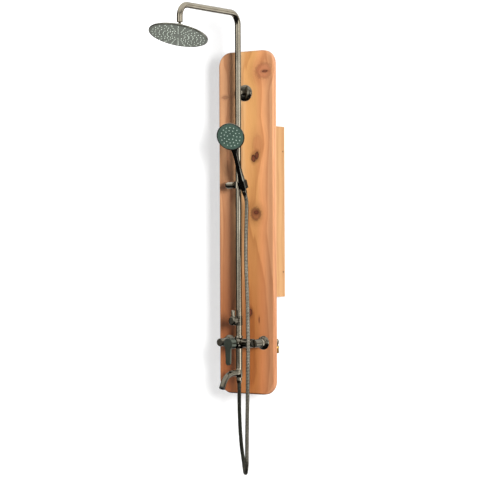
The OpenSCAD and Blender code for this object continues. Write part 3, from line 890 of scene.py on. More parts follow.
@dataclass(frozen=True)
class Moulded(Finish):
    """Moulded plastic, silicone or rubber."""

    base: str
    other: str
    roughness: float
    relief: float = 0.00004
    coat: float = 0.0
    texture: float = 1400.0

    def draw(self, s: Sheet, shader: Any, where: Socket) -> None:
        """Clouds the colour a little and gives the skin a fine moulded grain.

        Args:
            s: The material's sheet.
            shader: The inputs of its principled shader.
            where: Place in metres.
        """
        marks = s.group(fine_streaks(), Vector=where, Grain=self.texture)
        tone = s.remap(marks["Smears"], 0.3, 0.7)
        s.feed(shader["Base Color"], s.mix(tone, colour(self.base), colour(self.other)))
        rough = s.remap(marks["Smears"], 0.3, 0.7, self.roughness - 0.05, self.roughness + 0.05)
        s.feed(shader["Roughness"], s.math("MULTIPLY_ADD", marks["Drops"], 0.12, rough))
        shader["Coat Weight"].default_value = self.coat
        grain = s.noise(where, self.texture, 2.0, 0.6)
        s.feed(shader["Normal"], s.bump(grain, self.relief, 0.4))


@dataclass(frozen=True)
class Lumber(Finish):
    """Planed lumber with vertical grain, its colour given by stops from 0 to 1."""

    tones: tuple[tuple[float, str], ...]
    dark: str
    rings: float = 60.0
    line: float = 0.4
    depth: float = 0.2
    roughness: float = 0.55
    waver: float = 0.012

    def tone(self, s: Sheet, where: Socket, wood: Any) -> Socket:
        """Returns the wood's colour between its lines: slow bands along the grain."""
        return s.ramp(wood["Bands"], self.tones)

    def grain(self, s: Sheet, where: Socket) -> tuple[Any, Socket]:
        """Draws the plain wood.

        Args:
            s: The material's sheet.
            where: Place in metres, already pushed aside by knots.

        Returns:
            The grain group's outputs and the wood's colour.
        """
        wood = s.group(
            lumber_grain(), Vector=where, Rings=self.rings, Waver=self.waver, Depth=self.depth
        )
        lines = s.math("MULTIPLY", wood["Rings"], self.line)
        plain = s.mix(lines, self.tone(s, where, wood), colour(self.dark), "MULTIPLY")
        pores = s.remap(wood["Fibres"], 0.5, 0.8, 0.0, 0.4)
        return wood, s.mix(pores, plain, colour(self.dark), "MULTIPLY")

    def draw(self, s: Sheet, shader: Any, where: Socket) -> None:
        """Draws plain wood, rougher where the fibres are open.

        Args:
            s: The material's sheet.
            shader: The inputs of its principled shader.
            where: Place in metres.
        """
        wood, plain = self.grain(s, where)
        s.feed(shader["Base Color"], plain)
        low, high = self.roughness - 0.06, self.roughness + 0.1
        s.feed(shader["Roughness"], s.remap(wood["Fibres"], 0.3, 0.7, low, high))
        s.feed(shader["Normal"], s.bump(wood["Height"], 0.0003, 0.7))


@dataclass(frozen=True)
class Knot:
    """A knot on the board, or a stained patch of wood round one.

    Its place, half width and half height are in millimetres; depth says how strongly it shows,
    and tint stains the wood in and around it.
    """

    x: float
    z: float
    width: float
    height: float
    depth: float = 1.0
    tint: str = "5e2c1c"


@dataclass(frozen=True)
class KnottyCedar(Lumber):
    """Red cedar with sound knots, its colour running across the board, browner at the foot."""

    width: float = 0.24
    sway: float = 0.12
    # foot and foot_z darken the wood towards the foot of the board
    foot: str = "be9b80"
    foot_z: tuple[float, float] = (-0.55, 0.35)
    # end is painted shade along the board's lowest edge
    end: str = "5a4436"
    edge_shade_z: tuple[float, float] = (-0.6505, -0.6455)
    rim: str = "35160d"
    halo: float = 0.42
    core: float = 0.85
    knots: tuple[Knot, ...] = ()

    def tone(self, s: Sheet, where: Socket, wood: Any) -> Socket:
        """The colour between the lines.

        The stops run from the board's left side to its right, moved to and fro by the slow bands
        of the grain. The wood grows darker and browner towards the foot, the right side of it less
        than the middle, and the lowest edge is darkened as painted shade.

        Args:
            s: The material's sheet.
            where: Place in metres.
            wood: The grain group's outputs.

        Returns:
            The colour.
        """
        axis = s.add("SeparateXYZ", Vector=where).outputs
        across = s.math("MULTIPLY_ADD", axis[0], 1 / self.width, 0.5)
        swayed = s.math("MULTIPLY_ADD", s.math("SUBTRACT", wood["Bands"], 0.5), self.sway, across)
        foot = s.remap(axis[2], *self.foot_z, 1.0, 0.0)
        # Darker and browner towards the foot, less on the right side.
        foot_darkening = s.math("MULTIPLY", foot, s.remap(across, 0.55, 1.0, 1.0, 0.5))
        plain = s.mix(foot_darkening, s.ramp(swayed, self.tones), colour(self.foot), "MULTIPLY")
        # Painted shade along the board's lowest edge.
        edge_shade = s.remap(axis[2], *self.edge_shade_z, 1.0, 0.0)
        return s.mix(edge_shade, plain, colour(self.end), "MULTIPLY")

    def draw(self, s: Sheet, shader: Any, where: Socket) -> None:
        """Pushes the grain round each knot, then stains and darkens the wood there.

        Args:
            s: The material's sheet.
            shader: The inputs of its principled shader.
            where: Place in metres.
        """
        marks = []
        place = where
        for knot in self.knots:
            outputs = s.group(
                branch_knot(),
                Vector=where,
                Centre=(knot.x * MM, BOARD_FRONT * MM, knot.z * MM),
                Width=knot.width * MM,
                Height=knot.height * MM,
            )
            aside = s.add("CombineXYZ", X=outputs["Push"]).outputs[0]
            place = s.vector("SUBTRACT", place, aside)
            marks.append((knot, outputs))
        wood, plain = self.grain(s, place)
        for knot, outputs in marks:
            halo = s.math("MULTIPLY", outputs["Halo"], self.halo * knot.depth)
            plain = s.mix(halo, plain, colour(knot.tint), "MULTIPLY")
            core = s.math("MULTIPLY", outputs["Core"], self.core * knot.depth)
            plain = s.mix(core, plain, colour(knot.tint))
            rim = s.math("MULTIPLY", outputs["Rim"], knot.depth**2)
            plain = s.mix(rim, plain, colour(self.rim))
        s.feed(shader["Base Color"], plain)
        low, high = self.roughness - 0.05, self.roughness + 0.1
        s.feed(shader["Roughness"], s.remap(wood["Fibres"], 0.3, 0.7, low, high))
        s.feed(shader["Normal"], s.bump(wood["Height"], 0.00035, 0.7))


NICKEL = Metal("brushed nickel", "a49c8e", "968e81", 0.14)
DARK_NICKEL = Metal("polished nickel", "7a7469", "6c675c", 0.12, 0.03)
SATIN_LEVER = Metal("satin lever", "6c736a", "5f665d", 0.34, 0.05)
HEAD_STEEL = Metal("satin head", "8f8e84", "85847a", 0.2)
HEAD_PLATE = Metal("spray plate", "8c9289", "828880", 0.3)
HOSE_STEEL = Interlocked("interlocked strip", "b0aa9e", "9d978b", 0.2, 0.06, 0.05)
RAW_BRASS = Metal("turned brass", "c9a45a", "b28f4a", 0.28)
ZINC = Metal("zinc plate", "b4b6b8", "a2a5a8", 0.3)
RUST = Metal("rusted nail", "3f281c", "4c3222", 0.6, 0.08, 0.1, 400.0, 0.0001)
RUBBER = Moulded("black rubber", "121212", "1a1a1a", 0.55)
WHITE_PLASTIC = Moulded("white plastic", "dcdcd6", "d2d2cc", 0.45)
FACE = Moulded("spray face", "35463d", "2f3e37", 0.34, coat=0.2)
SILICONE = Moulded("nozzle silicone", "a6ada3", "9ca499", 0.5)
GREY_SILICONE = Moulded("grey nozzle silicone", "94a297", "88968b", 0.5)
CHROMED_PLASTIC = Metal("nickel plated plastic", "7d7c74", "716f67", 0.14, 0.03, 0.06)
BLOTCH = "94523c"
PINE = Lumber(
    "planed pine", ((0.3, "a47e54"), (0.5, "9d774e"), (0.7, "906a43")), "b88450",
    45.0, 0.3, 0.16, 0.6,
)
CEDAR = KnottyCedar(
    "knotty cedar",
    (
        (0.05, "c4926a"), (0.2, "bd8762"), (0.42, "cca273"), (0.53, "c9945c"),
        # the stop at 0.93 is darkened as painted shade, to offset the strong key light on the
        # board's right edge
        (0.68, "bf8c56"), (0.8, "cb8f60"), (0.93, "ae7f5b"),
    ),
    "b08458", 52.0, 0.5, 0.24, 0.5,
    knots=(
        Knot(80.0, 500.0, 34, 27, 0.5, BLOTCH),
        Knot(86.0, 498.0, 11, 4, 0.9),
        Knot(52.0, 240.0, 22, 34, 0.25, BLOTCH),
        Knot(48.5, 199.0, 7.5, 12, 1.0),
        Knot(34.0, 190.0, 8, 12, 1.0),
        Knot(43.0, -8.0, 21, 22, 0.7, "6c3422"),
        Knot(45.0, -3.0, 9, 6),
        Knot(15.0, -360.0, 9, 13, 1.0),
        Knot(56.0, -386.0, 1.8, 9, 1.0),
        Knot(-90.1, 413.3, 16, 6, 0.4),
        Knot(-100.0, 88.0, 15, 16, 0.35),
    ),
)


# Placing pieces


@dataclass
class Bench:
    """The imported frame, and how a finished piece takes its place on it."""

    frame: dict[str, Any]

    def __post_init__(self) -> None:
        """Looks up each node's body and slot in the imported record."""
        record = self.frame["record"]
        bodies = record["behaviour"]["bodies"]
        self.body = {node: body for body, nodes in bodies.items() for node in nodes}
        self.slot = {row["node"]: row["material_slot"] for row in record["subparts"]}

    def place(
        self, name: str, shape: Surface | bpy.types.Mesh, finish: Finish, *nodes: str,
        sharp: float = 32.0, ride: bool = True,
    ) -> bpy.types.Object:
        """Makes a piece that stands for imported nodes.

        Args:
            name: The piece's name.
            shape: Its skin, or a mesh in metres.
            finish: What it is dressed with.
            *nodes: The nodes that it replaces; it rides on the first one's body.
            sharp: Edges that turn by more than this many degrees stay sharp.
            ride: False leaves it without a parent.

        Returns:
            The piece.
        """
        mesh = mesh_of(name, shape) if isinstance(shape, Surface) else shape
        mesh.shade_smooth()
        mesh.set_sharp_from_angle(angle=math.radians(sharp))
        mesh.materials.append(finish.material())
        piece = added(name, mesh)
        even = piece.modifiers.new("even shading", "WEIGHTED_NORMAL")
        even.keep_sharp = True
        if ride:
            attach(piece, self.body[nodes[0]])
        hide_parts(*nodes)
        LOG.info("%s: %d faces, %s", name, len(mesh.polygons), finish.name)
        return piece

    def copy(self, rows: Sequence[tuple[str, Finish]]) -> None:
        """Replaces nodes by copies with their seams closed and their curved faces smooth.

        Args:
            rows: Pairs of a node and its finish.
        """
        for node, finish in rows:
            mesh = self.frame["nodes"][node].data.copy()
            mesh.materials.clear()
            cleaned(mesh, WELD)
            self.place(f"{node}_finished", mesh, finish, node)

    def dress(self, node: str, finish: Finish) -> None:
        """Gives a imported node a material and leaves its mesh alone.

        Args:
            node: The node.
            finish: What it is dressed with.
        """
        data = self.frame["nodes"][node].data
        data.materials.clear()
        data.materials.append(finish.material())
        LOG.info("%s: packed node, %s", node, finish.name)


# Sub-assemblies


@dataclass
class CedarBoard:
    """The cedar board with round corners and an eased front edge."""

    width: float = 240.0
    height: float = 1226.0
    thickness: float = 20.0
    corner: float = 50.0
    edge: float = 5.0
    drop: float = 652.0

    def skin(self) -> Surface:
        """The board's skin.

        Ring k is a rounded rectangle drawn in by inset k at depth k; its corner arcs keep their
        centres and have the radius corner - inset. The insets follow a quarter circle at the
        front edge and a small bevel at the back.

        Returns:
            The skin.
        """
        q = np.radians(np.linspace(0, 90, 8))
        front = self.thickness - self.edge
        inset = [8, 1, 0, *(self.edge * (1 - np.cos(q))), self.edge + 4]
        depth = [0, 0, 1, *(front + self.edge * np.sin(q)), self.thickness]
        inset, depth = np.array(inset, float), np.array(depth, float)
        a = np.radians(np.linspace(0, 90, 15))[None, :] + np.radians([[0], [90], [180], [270]])
        half_x = self.width / 2 - self.corner
        half_z = self.height / 2 - self.corner
        cx = np.array([1, -1, -1, 1])[:, None] * half_x + 0 * a
        cz = np.array([1, 1, -1, -1])[:, None] * half_z + 0 * a
        r = (self.corner - inset)[:, None]
        x = cx.ravel() + r * np.cos(a).ravel()
        z = cz.ravel() + r * np.sin(a).ravel() + self.height / 2 - self.drop
        y = BOARD_FRONT + self.thickness - np.broadcast_to(depth[:, None], x.shape)
        return lofted(np.stack([x, y, z], -1))

    def build(self, bench: Bench) -> None:
        """Places the board, hidden from the gloss of the metal, which shows the drawn room."""
        board = bench.place("board_cedar", self.skin(), CEDAR, "cedar_board", sharp=40)
        board.visible_glossy = False


@dataclass
class WallFrame:
    """The pale lumber frame that spaces the board off the wall."""

    lumber: tuple[str, ...] = (
        "left_side_strip",
        "right_side_strip",
        "upper_cross_rail",
        "lower_cross_rail",
    )
    copies: tuple[tuple[str, Finish], ...] = (("frame_nails", RUST), ("frame_screws", ZINC))

    def build(self, bench: Bench) -> None:
        """Dresses the frame's lumber, nails and screws.

        Args:
            bench: Where the pieces take their places.
        """
        for node in self.lumber:
            bench.dress(node, PINE)
        bench.copy(self.copies)


@dataclass
class Riser:
    """The bent riser with its arm, and the bracket that holds it to the board."""

    outer: float = 10.5
    bore: float = 9.0
    bend: float = 42.0
    foot: float = -381.0
    arm: float = 704.0
    end: float = 643.0
    copies: tuple[tuple[str, Finish], ...] = (
        ("bracket_base", DARK_NICKEL),
        ("bracket_stub", NICKEL),
        ("bracket_screws", ZINC),
        ("bracket_set_screw", ZINC),
        ("lower_riser", NICKEL),
        ("outlet_collar", NICKEL),
    )

    def pipe_path(self) -> Array:
        """The pipe's axis: up the column, out along the arm and down the drop.

        Returns:
            The points.
        """
        corners = [
            (0, COLUMN_Y, self.foot),
            (0, COLUMN_Y, self.arm),
            (0, DROP_Y, self.arm),
            (0, DROP_Y, self.end),
        ]
        return without_doubles(rounded(corners, self.bend, 25, limit=0.9))

    def flange(self) -> Surface:
        """The bracket's domed cover.

        Returns:
            The skin.
        """
        profile = [
            (27.7, 0), (29.3, 0), (29.3, 4), (27.8, 7.4), (22.6, 10.8), (13, 13), (9.05, 13),
            (9.05, 11.2), (12.8, 11.2), (21.8, 9.3), (26.2, 6.6), (27.7, 3.6),
        ]
        radius = [0.3, 0.5, 5, 8, 12, 14, 0.4, 0.2, 12, 12, 8, 5]
        return lathed(profile, radius, 96, loop=True)

    def build(self, bench: Bench) -> None:
        """Places the riser and its bracket.

        Args:
            bench: Where the pieces take their places.
        """
        skin = pipe(self.pipe_path(), self.outer, self.bore)
        bench.place("riser_bent_pipe", skin, NICKEL, "riser_pipe")
        cover = self.flange().placed(at_board(0, BRACKET_Z))
        bench.place("bracket_cover", cover, DARK_NICKEL, "bracket_flange")
        bench.copy(self.copies)


@dataclass
class RainHead:
    """The thin rain head on its swivel ball."""

    rim: float = 102.5
    plate: float = 99.4
    plate_top: float = -31.0
    plate_low: float = -33.0
    rows: int = 24
    radii: tuple[float, ...] = (24, 38, 52, 66, 80, 90)
    full_row: float = 30.0
    nozzle: float = 2.2
    copies: tuple[tuple[str, Finish], ...] = (("swivel_ball", NICKEL), ("seat_ring", RUBBER))

    def shell(self) -> Surface:
        """The thin back shell with its neck and rolled rim.

        Returns:
            The skin.
        """
        r = self.rim
        profile = [
            (8, -8.95), (9.2, -7.72), (10.4, -6), (11.9, -6), (11.9, -16.5), (15, -16.5),
            (16, -19), (20, -21.6), (60, -24.4), (r - 5, -26.2), (r - 1.4, -27), (r, -28.6),
            (r, -31.6), (r - 1, -33.2), (r - 3, -33.2), (r - 3, -29.6), (r - 6, -28.2),
            (60, -26.4), (19, -23.6), (8, -20),
        ]
        radius = [
            0.2, 0.1, 0.2, 0.3, 0.3, 1, 2, 12, 200, 30, 3, 2, 2, 0.8, 0.3, 1, 3, 60, 30, 0.5,
        ]
        return lathed(profile, radius, 128, 7, loop=True)

    def spray_plate(self) -> Surface:
        """The plate: a disc with a fine groove near its edge.

        Returns:
            The skin.
        """
        r, low = self.plate, self.plate_low
        profile = [
            (0, self.plate_top), (r, self.plate_top), (r, low), (r - 2.2, low),
            (r - 2.6, low + 0.35), (r - 3.4, low + 0.35), (r - 3.8, low), (0, low),
        ]
        return lathed(profile, 0.25, 128, 4)

    def nozzles(self) -> Surface:
        """The rubber nozzles: tapered nubs with a dimple, in radial rows.

        Every row has one at each radius, but up to the radius full_row only every second row
        has one.

        Returns:
            The skin of all of them.
        """
        h = self.nozzle
        nub = turned([(0, 0.7), (0.55, 0.7), (0.7, 0), (1.1, 0.02), (1.3, 0.5), (1.8, h)], 12)
        i, r = np.meshgrid(np.arange(self.rows), np.array(self.radii), indexing="ij")
        kept = (r > self.full_row) | (i % 2 == 0)
        angles = 360 * (i[kept] + 0.5) / self.rows
        place = shift(0, 0, self.plate_low - h)
        return repeated(
            nub,
            [turn(Axis.Z, a) @ place @ shift(q, 0, 0) for a, q in zip(angles, r[kept])],
        )

    def nut(self) -> Surface:
        """The nut round the ball, with an eased shoulder.

        Returns:
            The skin.
        """
        profile = [
            (12, -16), (16, -16), (16, 1.5), (13.2, 7.5), (9.2, 7.5), (9.2, 6.2), (11.3, 1),
            (11.4, -1), (12, -1.5),
        ]
        return lathed(profile, [0.3, 0.8, 2, 1, 0.3, 0.5, 2, 0.3, 0.2], 96, 5, loop=True)

    def build(self, bench: Bench) -> None:
        """Places the rain head's pieces on its body.

        Args:
            bench: Where the pieces take their places.
        """
        place = at_rain_head()
        made = (
            ("rain_head_shell", self.shell(), HEAD_STEEL, "rain_head_back"),
            ("rain_head_spray_plate", self.spray_plate(), HEAD_PLATE, "rain_head_plate"),
            ("rain_head_rubber_nozzles", self.nozzles(), SILICONE, "rain_head_nozzles"),
            ("rain_head_nut", self.nut(), HEAD_STEEL, "ball_nut"),
        )
        for name, skin, finish, node in made:
            bench.place(name, skin.placed(place), finish, node)
        bench.copy(self.copies)


@dataclass
class Mixer:
    """The exposed mixer with its two inlets and what joins them to the supply."""

    copies: tuple[tuple[str, Finish], ...] = (
        ("mixer_body", DARK_NICKEL),
        ("cartridge", WHITE_PLASTIC),
        ("retaining_nut", RAW_BRASS),
        ("inlet_nipples", RAW_BRASS),
        ("union_nuts", NICKEL),
        ("inlet_washers", RUBBER),
        ("lock_nuts", RAW_BRASS),
        ("left_supply_elbow", NICKEL),
        ("right_supply_elbow", NICKEL),
    )
    inlet: float = 75.0
    pivot: float = 80.0
    elbow: float = 66.0
    elbow_turn: float = 8.0
    water: float = 7.5
    thread: float = 13.45
    thread_low: float = 23.0
    thread_end: float = 41.0
    groove: float = 1.3
    pitch: float = 2.21
    entry: float = 1.2
    hexagon: float = 16.5
    hexagon_low: float = 17.0
    neck: float = 10.0

    def bonnet(self) -> Surface:
        """The bonnet: a skirt that ends in part of a sphere round the lever's pivot.

        Returns:
            The skin.
        """
        outer = arc(0, self.pivot, 15, -11.5, 27.8, 9)
        inner = arc(0, self.pivot, 13.5, 31.2, -20, 9)
        low = rounded([(18.05, 66), (18.05, 60.6), (19.5, 60.6), (19.5, 72), (17.5, 77)], 0.5)[1:]
        return turned(np.vstack([low, outer, inner, [(17, 71.5), (18.05, 70)]]), 96, loop=True)

    def escutcheon(self) -> Surface:
        """One inlet's domed wall cover.

        Returns:
            The skin.
        """
        profile = [
            (23.4, 0), (24.5, 0), (24.5, 2), (22.4, 5.2), (17, 8.4), (14.4, 9), (11.05, 9),
            (11.05, 7.6), (14.2, 7.6), (16.4, 7), (21.4, 4.1), (23.4, 1.6),
        ]
        return lathed(profile, [0.2, 0.4, 3, 6, 8, 6, 0.3, 0.2, 3, 6, 6, 2], 96, loop=True)

    def adapter(self, side: Side) -> bpy.types.Mesh:
        """The brass hose adapter with its hexagon and its male hose thread.

        The thread's radius at height h and angle a is its outer radius less a rounded groove
        where the fraction of h / pitch - a / 360 is near a half, fading in at both ends, and
        less a chamfer over the last millimetre.

        Args:
            side: The inlet that it hangs below.

        Returns:
            The mesh, at its place.
        """
        low, end = self.thread_low, self.thread_end
        h = np.linspace(low, end, 74)[:, None]
        a = (np.arange(48) / 48)[None, :]
        groove = 0.5 - 0.5 * np.cos(2 * math.pi * (h / self.pitch - a))
        fade = np.clip((h - low - 1) / 2, 0, 1) * np.clip((end - h) / 1.5, 0, 1)
        entry = self.entry * np.clip(h - end + 1, 0, 1)
        r = self.thread - self.groove * groove * fade - entry
        spin = 2 * math.pi * a
        rows = np.stack([r * np.cos(spin), r * np.sin(spin), h + 0 * spin], -1)
        hexagon = arc(0, 0, self.hexagon, 0, 300, 6)
        under = self.hexagon_low
        flange = slab(rounded(hexagon, 2, 4, loop=True), under, low + 1, 0.6)
        neck = turned([(0, 8), (self.neck, 8), (self.neck, under + 1), (0, under + 1)], 48)
        bore = turned([(0, 7), (self.water, 7), (self.water, end + 1), (0, end + 1)], 48)
        place = (
            at_board(side.value * self.inlet, MIXER_Z)
            @ shift(0, 0, -self.elbow)
            @ turn(Axis.Z, side.value * self.elbow_turn)
            @ turn(Axis.X, 90)
        )
        parts = [skin.placed(place) for skin in (flange, lofted(rows), neck)]
        return machined("adapter", parts, [bore.placed(place)])

    def build(self, bench: Bench) -> None:
        """Places the mixer.

        Args:
            bench: Where the pieces take their places.
        """
        bench.copy(self.copies)
        bonnet = self.bonnet().placed(at_board(0, MIXER_Z))
        bench.place("mixer_bonnet", bonnet, DARK_NICKEL, "bonnet")
        places = [at_board(side.value * self.inlet, MIXER_Z) for side in Side]
        covers = repeated(self.escutcheon(), places)
        bench.place("inlet_wall_covers", covers, DARK_NICKEL, "escutcheons")
        for side in Side:
            word = side.name.lower()
            mesh = self.adapter(side)
            bench.place(f"{word}_threaded_adapter", mesh, RAW_BRASS, f"{word}_hose_adapter")


@dataclass
class Lever:
    """The flat lever, its stem and the carrier that it rocks on."""

    hub: float = 19.0
    back: float = 105.0
    front: float = 112.0
    shoulder: float = 12.3
    tip: float = 10.5
    length: float = 77.0
    skirt_low: float = 85.5
    skirt_wall: float = 3.0
    socket: float = 9.0
    socket_bore: float = 5.8
    socket_low: float = 93.0
    sunk: float = 0.6
    copies: tuple[tuple[str, Finish], ...] = (
        ("lever_stem", RAW_BRASS),
        ("handle_screw", ZINC),
        ("lever_carrier", WHITE_PLASTIC),
        ("lever_pin", ZINC),
    )

    def outline(self) -> Array:
        """The lever's outline: a round hub that runs into a tapered blade.

        The blade leaves the hub where the hub's half width has come down to the shoulder, which
        is at the angle arcsin(shoulder / hub) from straight down.

        Returns:
            Points as (point, 2), counter-clockwise.
        """
        leave = math.degrees(math.asin(self.shoulder / self.hub)) - 90
        hub = arc(0, 0, self.hub, leave, 180 - leave, 49)
        tip = arc(0, self.tip - self.length, self.tip, 184, 356, 25)
        neck = [tuple(hub[-1]), tuple(tip[0]), tuple(tip[-1]), tuple(hub[0])]
        left = np.linspace(neck[0], neck[1], 14)[1:-1]
        right = np.linspace(neck[2], neck[3], 14)[1:-1]
        return np.vstack([hub, left, tip, right])

    def handle(self) -> bpy.types.Mesh:
        """The handle: the flat plate, the skirt over the bonnet and the stem's socket.

        Returns:
            The mesh, at its place.
        """
        plate = slab(self.outline(), self.back, self.front, 1.2, 6)
        r, bore, top = self.hub, self.hub - self.skirt_wall, self.back + self.sunk
        low = self.skirt_low
        skirt = lathed([(bore, low), (r, low), (r, top), (bore, top)], 0.5, 96, 4, loop=True)
        r, bore, low = self.socket, self.socket_bore, self.socket_low
        socket = turned([(bore, low), (r, low), (r, top), (bore, top)], 48, loop=True)
        place = at_board(0, MIXER_Z)
        return machined("handle", [skin.placed(place) for skin in (plate, skirt, socket)])

    def build(self, bench: Bench) -> None:
        """Places the lever."""
        bench.place("mixer_lever_handle", self.handle(), SATIN_LEVER, "lever_handle", sharp=40)
        bench.copy(self.copies)


@dataclass
class Diverter:
    """The diverter on the riser, with its round knob and upright post."""

    sleeve: float = 12.5
    sleeve_half: float = 17.0
    bore: float = 10.55
    post_at: float = 80.0

    def body(self) -> bpy.types.Mesh:
        """The flared barrel on its sleeve, with the riser's bore cut through.

        Returns:
            The mesh, at its place.
        """
        barrel = [
            (0, COLUMN_REACH), (10.4, COLUMN_REACH), (10.8, 58), (13.4, 66), (14.2, 69),
            (14.2, 71), (0, 71),
        ]
        r, h = self.sleeve, self.sleeve_half
        sleeve = [(0, -h), (r, -h), (r, h), (0, h)]
        past = h + 3
        bore = [(0, -past), (self.bore, -past), (self.bore, past), (0, past)]
        place = at_board(0, DIVERTER_Z)
        upright = place @ shift(0, 0, COLUMN_REACH) @ turn(Axis.X, 90)
        parts = [
            lathed(barrel, [1, 1, 14, 8, 1, 0.5, 1]).placed(place),
            lathed(sleeve, 0.8).placed(upright),
        ]
        return machined("diverter", parts, [turned(bore).placed(upright)])

    def knob(self) -> Surface:
        """The knob: a short drum with a domed front and a fine groove.

        Returns:
            The skin.
        """
        profile = [
            (0, 71.4), (14, 71.4), (15.5, 73), (15.5, 76.2), (15.1, 76.6), (15.1, 77.2),
            (15.5, 77.6), (15.5, 86.5), (13.5, 89), (10.5, 90), (0, 90.6),
        ]
        return lathed(profile, [1, 0.6, 0.6, 0.2, 0.2, 0.2, 0.2, 2, 2, 8, 1], 96)

    def post(self) -> Surface:
        """Returns the post, a slim peg with a rounded top."""
        profile = [(0, 13), (6.6, 13), (7, 18), (7, 33), (6.3, 36), (4.4, 37.7), (0, 38.2)]
        return lathed(profile, [1, 0.3, 8, 6, 3, 3, 1], 48)

    def build(self, bench: Bench) -> None:
        """Places the diverter.

        Args:
            bench: Where the pieces take their places.
        """
        place = at_board(0, DIVERTER_Z)
        bench.place("diverter_casting", self.body(), DARK_NICKEL, "diverter_body")
        bench.place("diverter_round_knob", self.knob().placed(place), DARK_NICKEL, "diverter_knob")
        upright = place @ shift(0, 0, self.post_at) @ turn(Axis.X, -90)
        bench.place("diverter_peg", self.post().placed(upright), NICKEL, "diverter_post")
        bench.copy([("diverter_spindle", RAW_BRASS)])


@dataclass
class Spout:
    """The tube below the mixer, the tee and the curved tub spout."""

    outer: float = 10.5
    bore: float = 8.5
    bend_radius: float = 66.0
    bend: float = 62.0
    root: float = 62.0
    start: float = 81.0
    tail: float = 13.0
    collar: float = 0.2
    copies: tuple[tuple[str, Finish], ...] = (("down_tube", NICKEL), ("spout_tee", NICKEL))

    def path(self) -> Array:
        """The spout's axis: straight out of the tee, then down round its bend.

        The bend's corner lies radius x tan(bend / 2) past the bend's start.

        Returns:
            The points.
        """
        reach = self.bend_radius * math.tan(math.radians(self.bend / 2))
        a = math.radians(self.bend)
        y = BOARD_FRONT - self.start - reach
        end = reach + self.tail
        corners = [
            (0, BOARD_FRONT - self.root, SPOUT_Z),
            (0, y, SPOUT_Z),
            (0, y - end * math.cos(a), SPOUT_Z - end * math.sin(a)),
        ]
        return without_doubles(rounded(corners, self.bend_radius, 31, limit=1.0))

    def tip(self) -> Surface:
        """The black ring at the spout's mouth.

        Returns:
            The skin, at its place.
        """
        profile = [(6.5, -3), (8.35, -3), (8.35, 0), (11, 0), (11, 5), (6.5, 5)]
        ring = lathed(profile, [0.2, 0.2, 0.1, 0.5, 1.2, 0.8], loop=True)
        place = (
            shift(0, BOARD_FRONT - self.start, SPOUT_Z - self.bend_radius)
            @ turn(Axis.Z, 90)
            @ turn(Axis.X, 90)
            @ turn(Axis.Z, 90 + self.bend)
            @ shift(self.bend_radius, self.tail, 0)
            @ turn(Axis.X, -90)
        )
        return ring.placed(place)

    def build(self, bench: Bench) -> None:
        """Places the spout and its tubes.

        Args:
            bench: Where the pieces take their places.
        """
        path = self.path()
        collar = self.collar * (np.arange(len(path)) >= len(path) - 2)
        skin = pipe(path, self.outer + collar, self.bore + collar)
        bench.place("spout_curved_tube", skin, DARK_NICKEL, "spout")
        bench.place("spout_tip_ring", self.tip(), RUBBER, "spout_tip")
        bench.copy(self.copies)


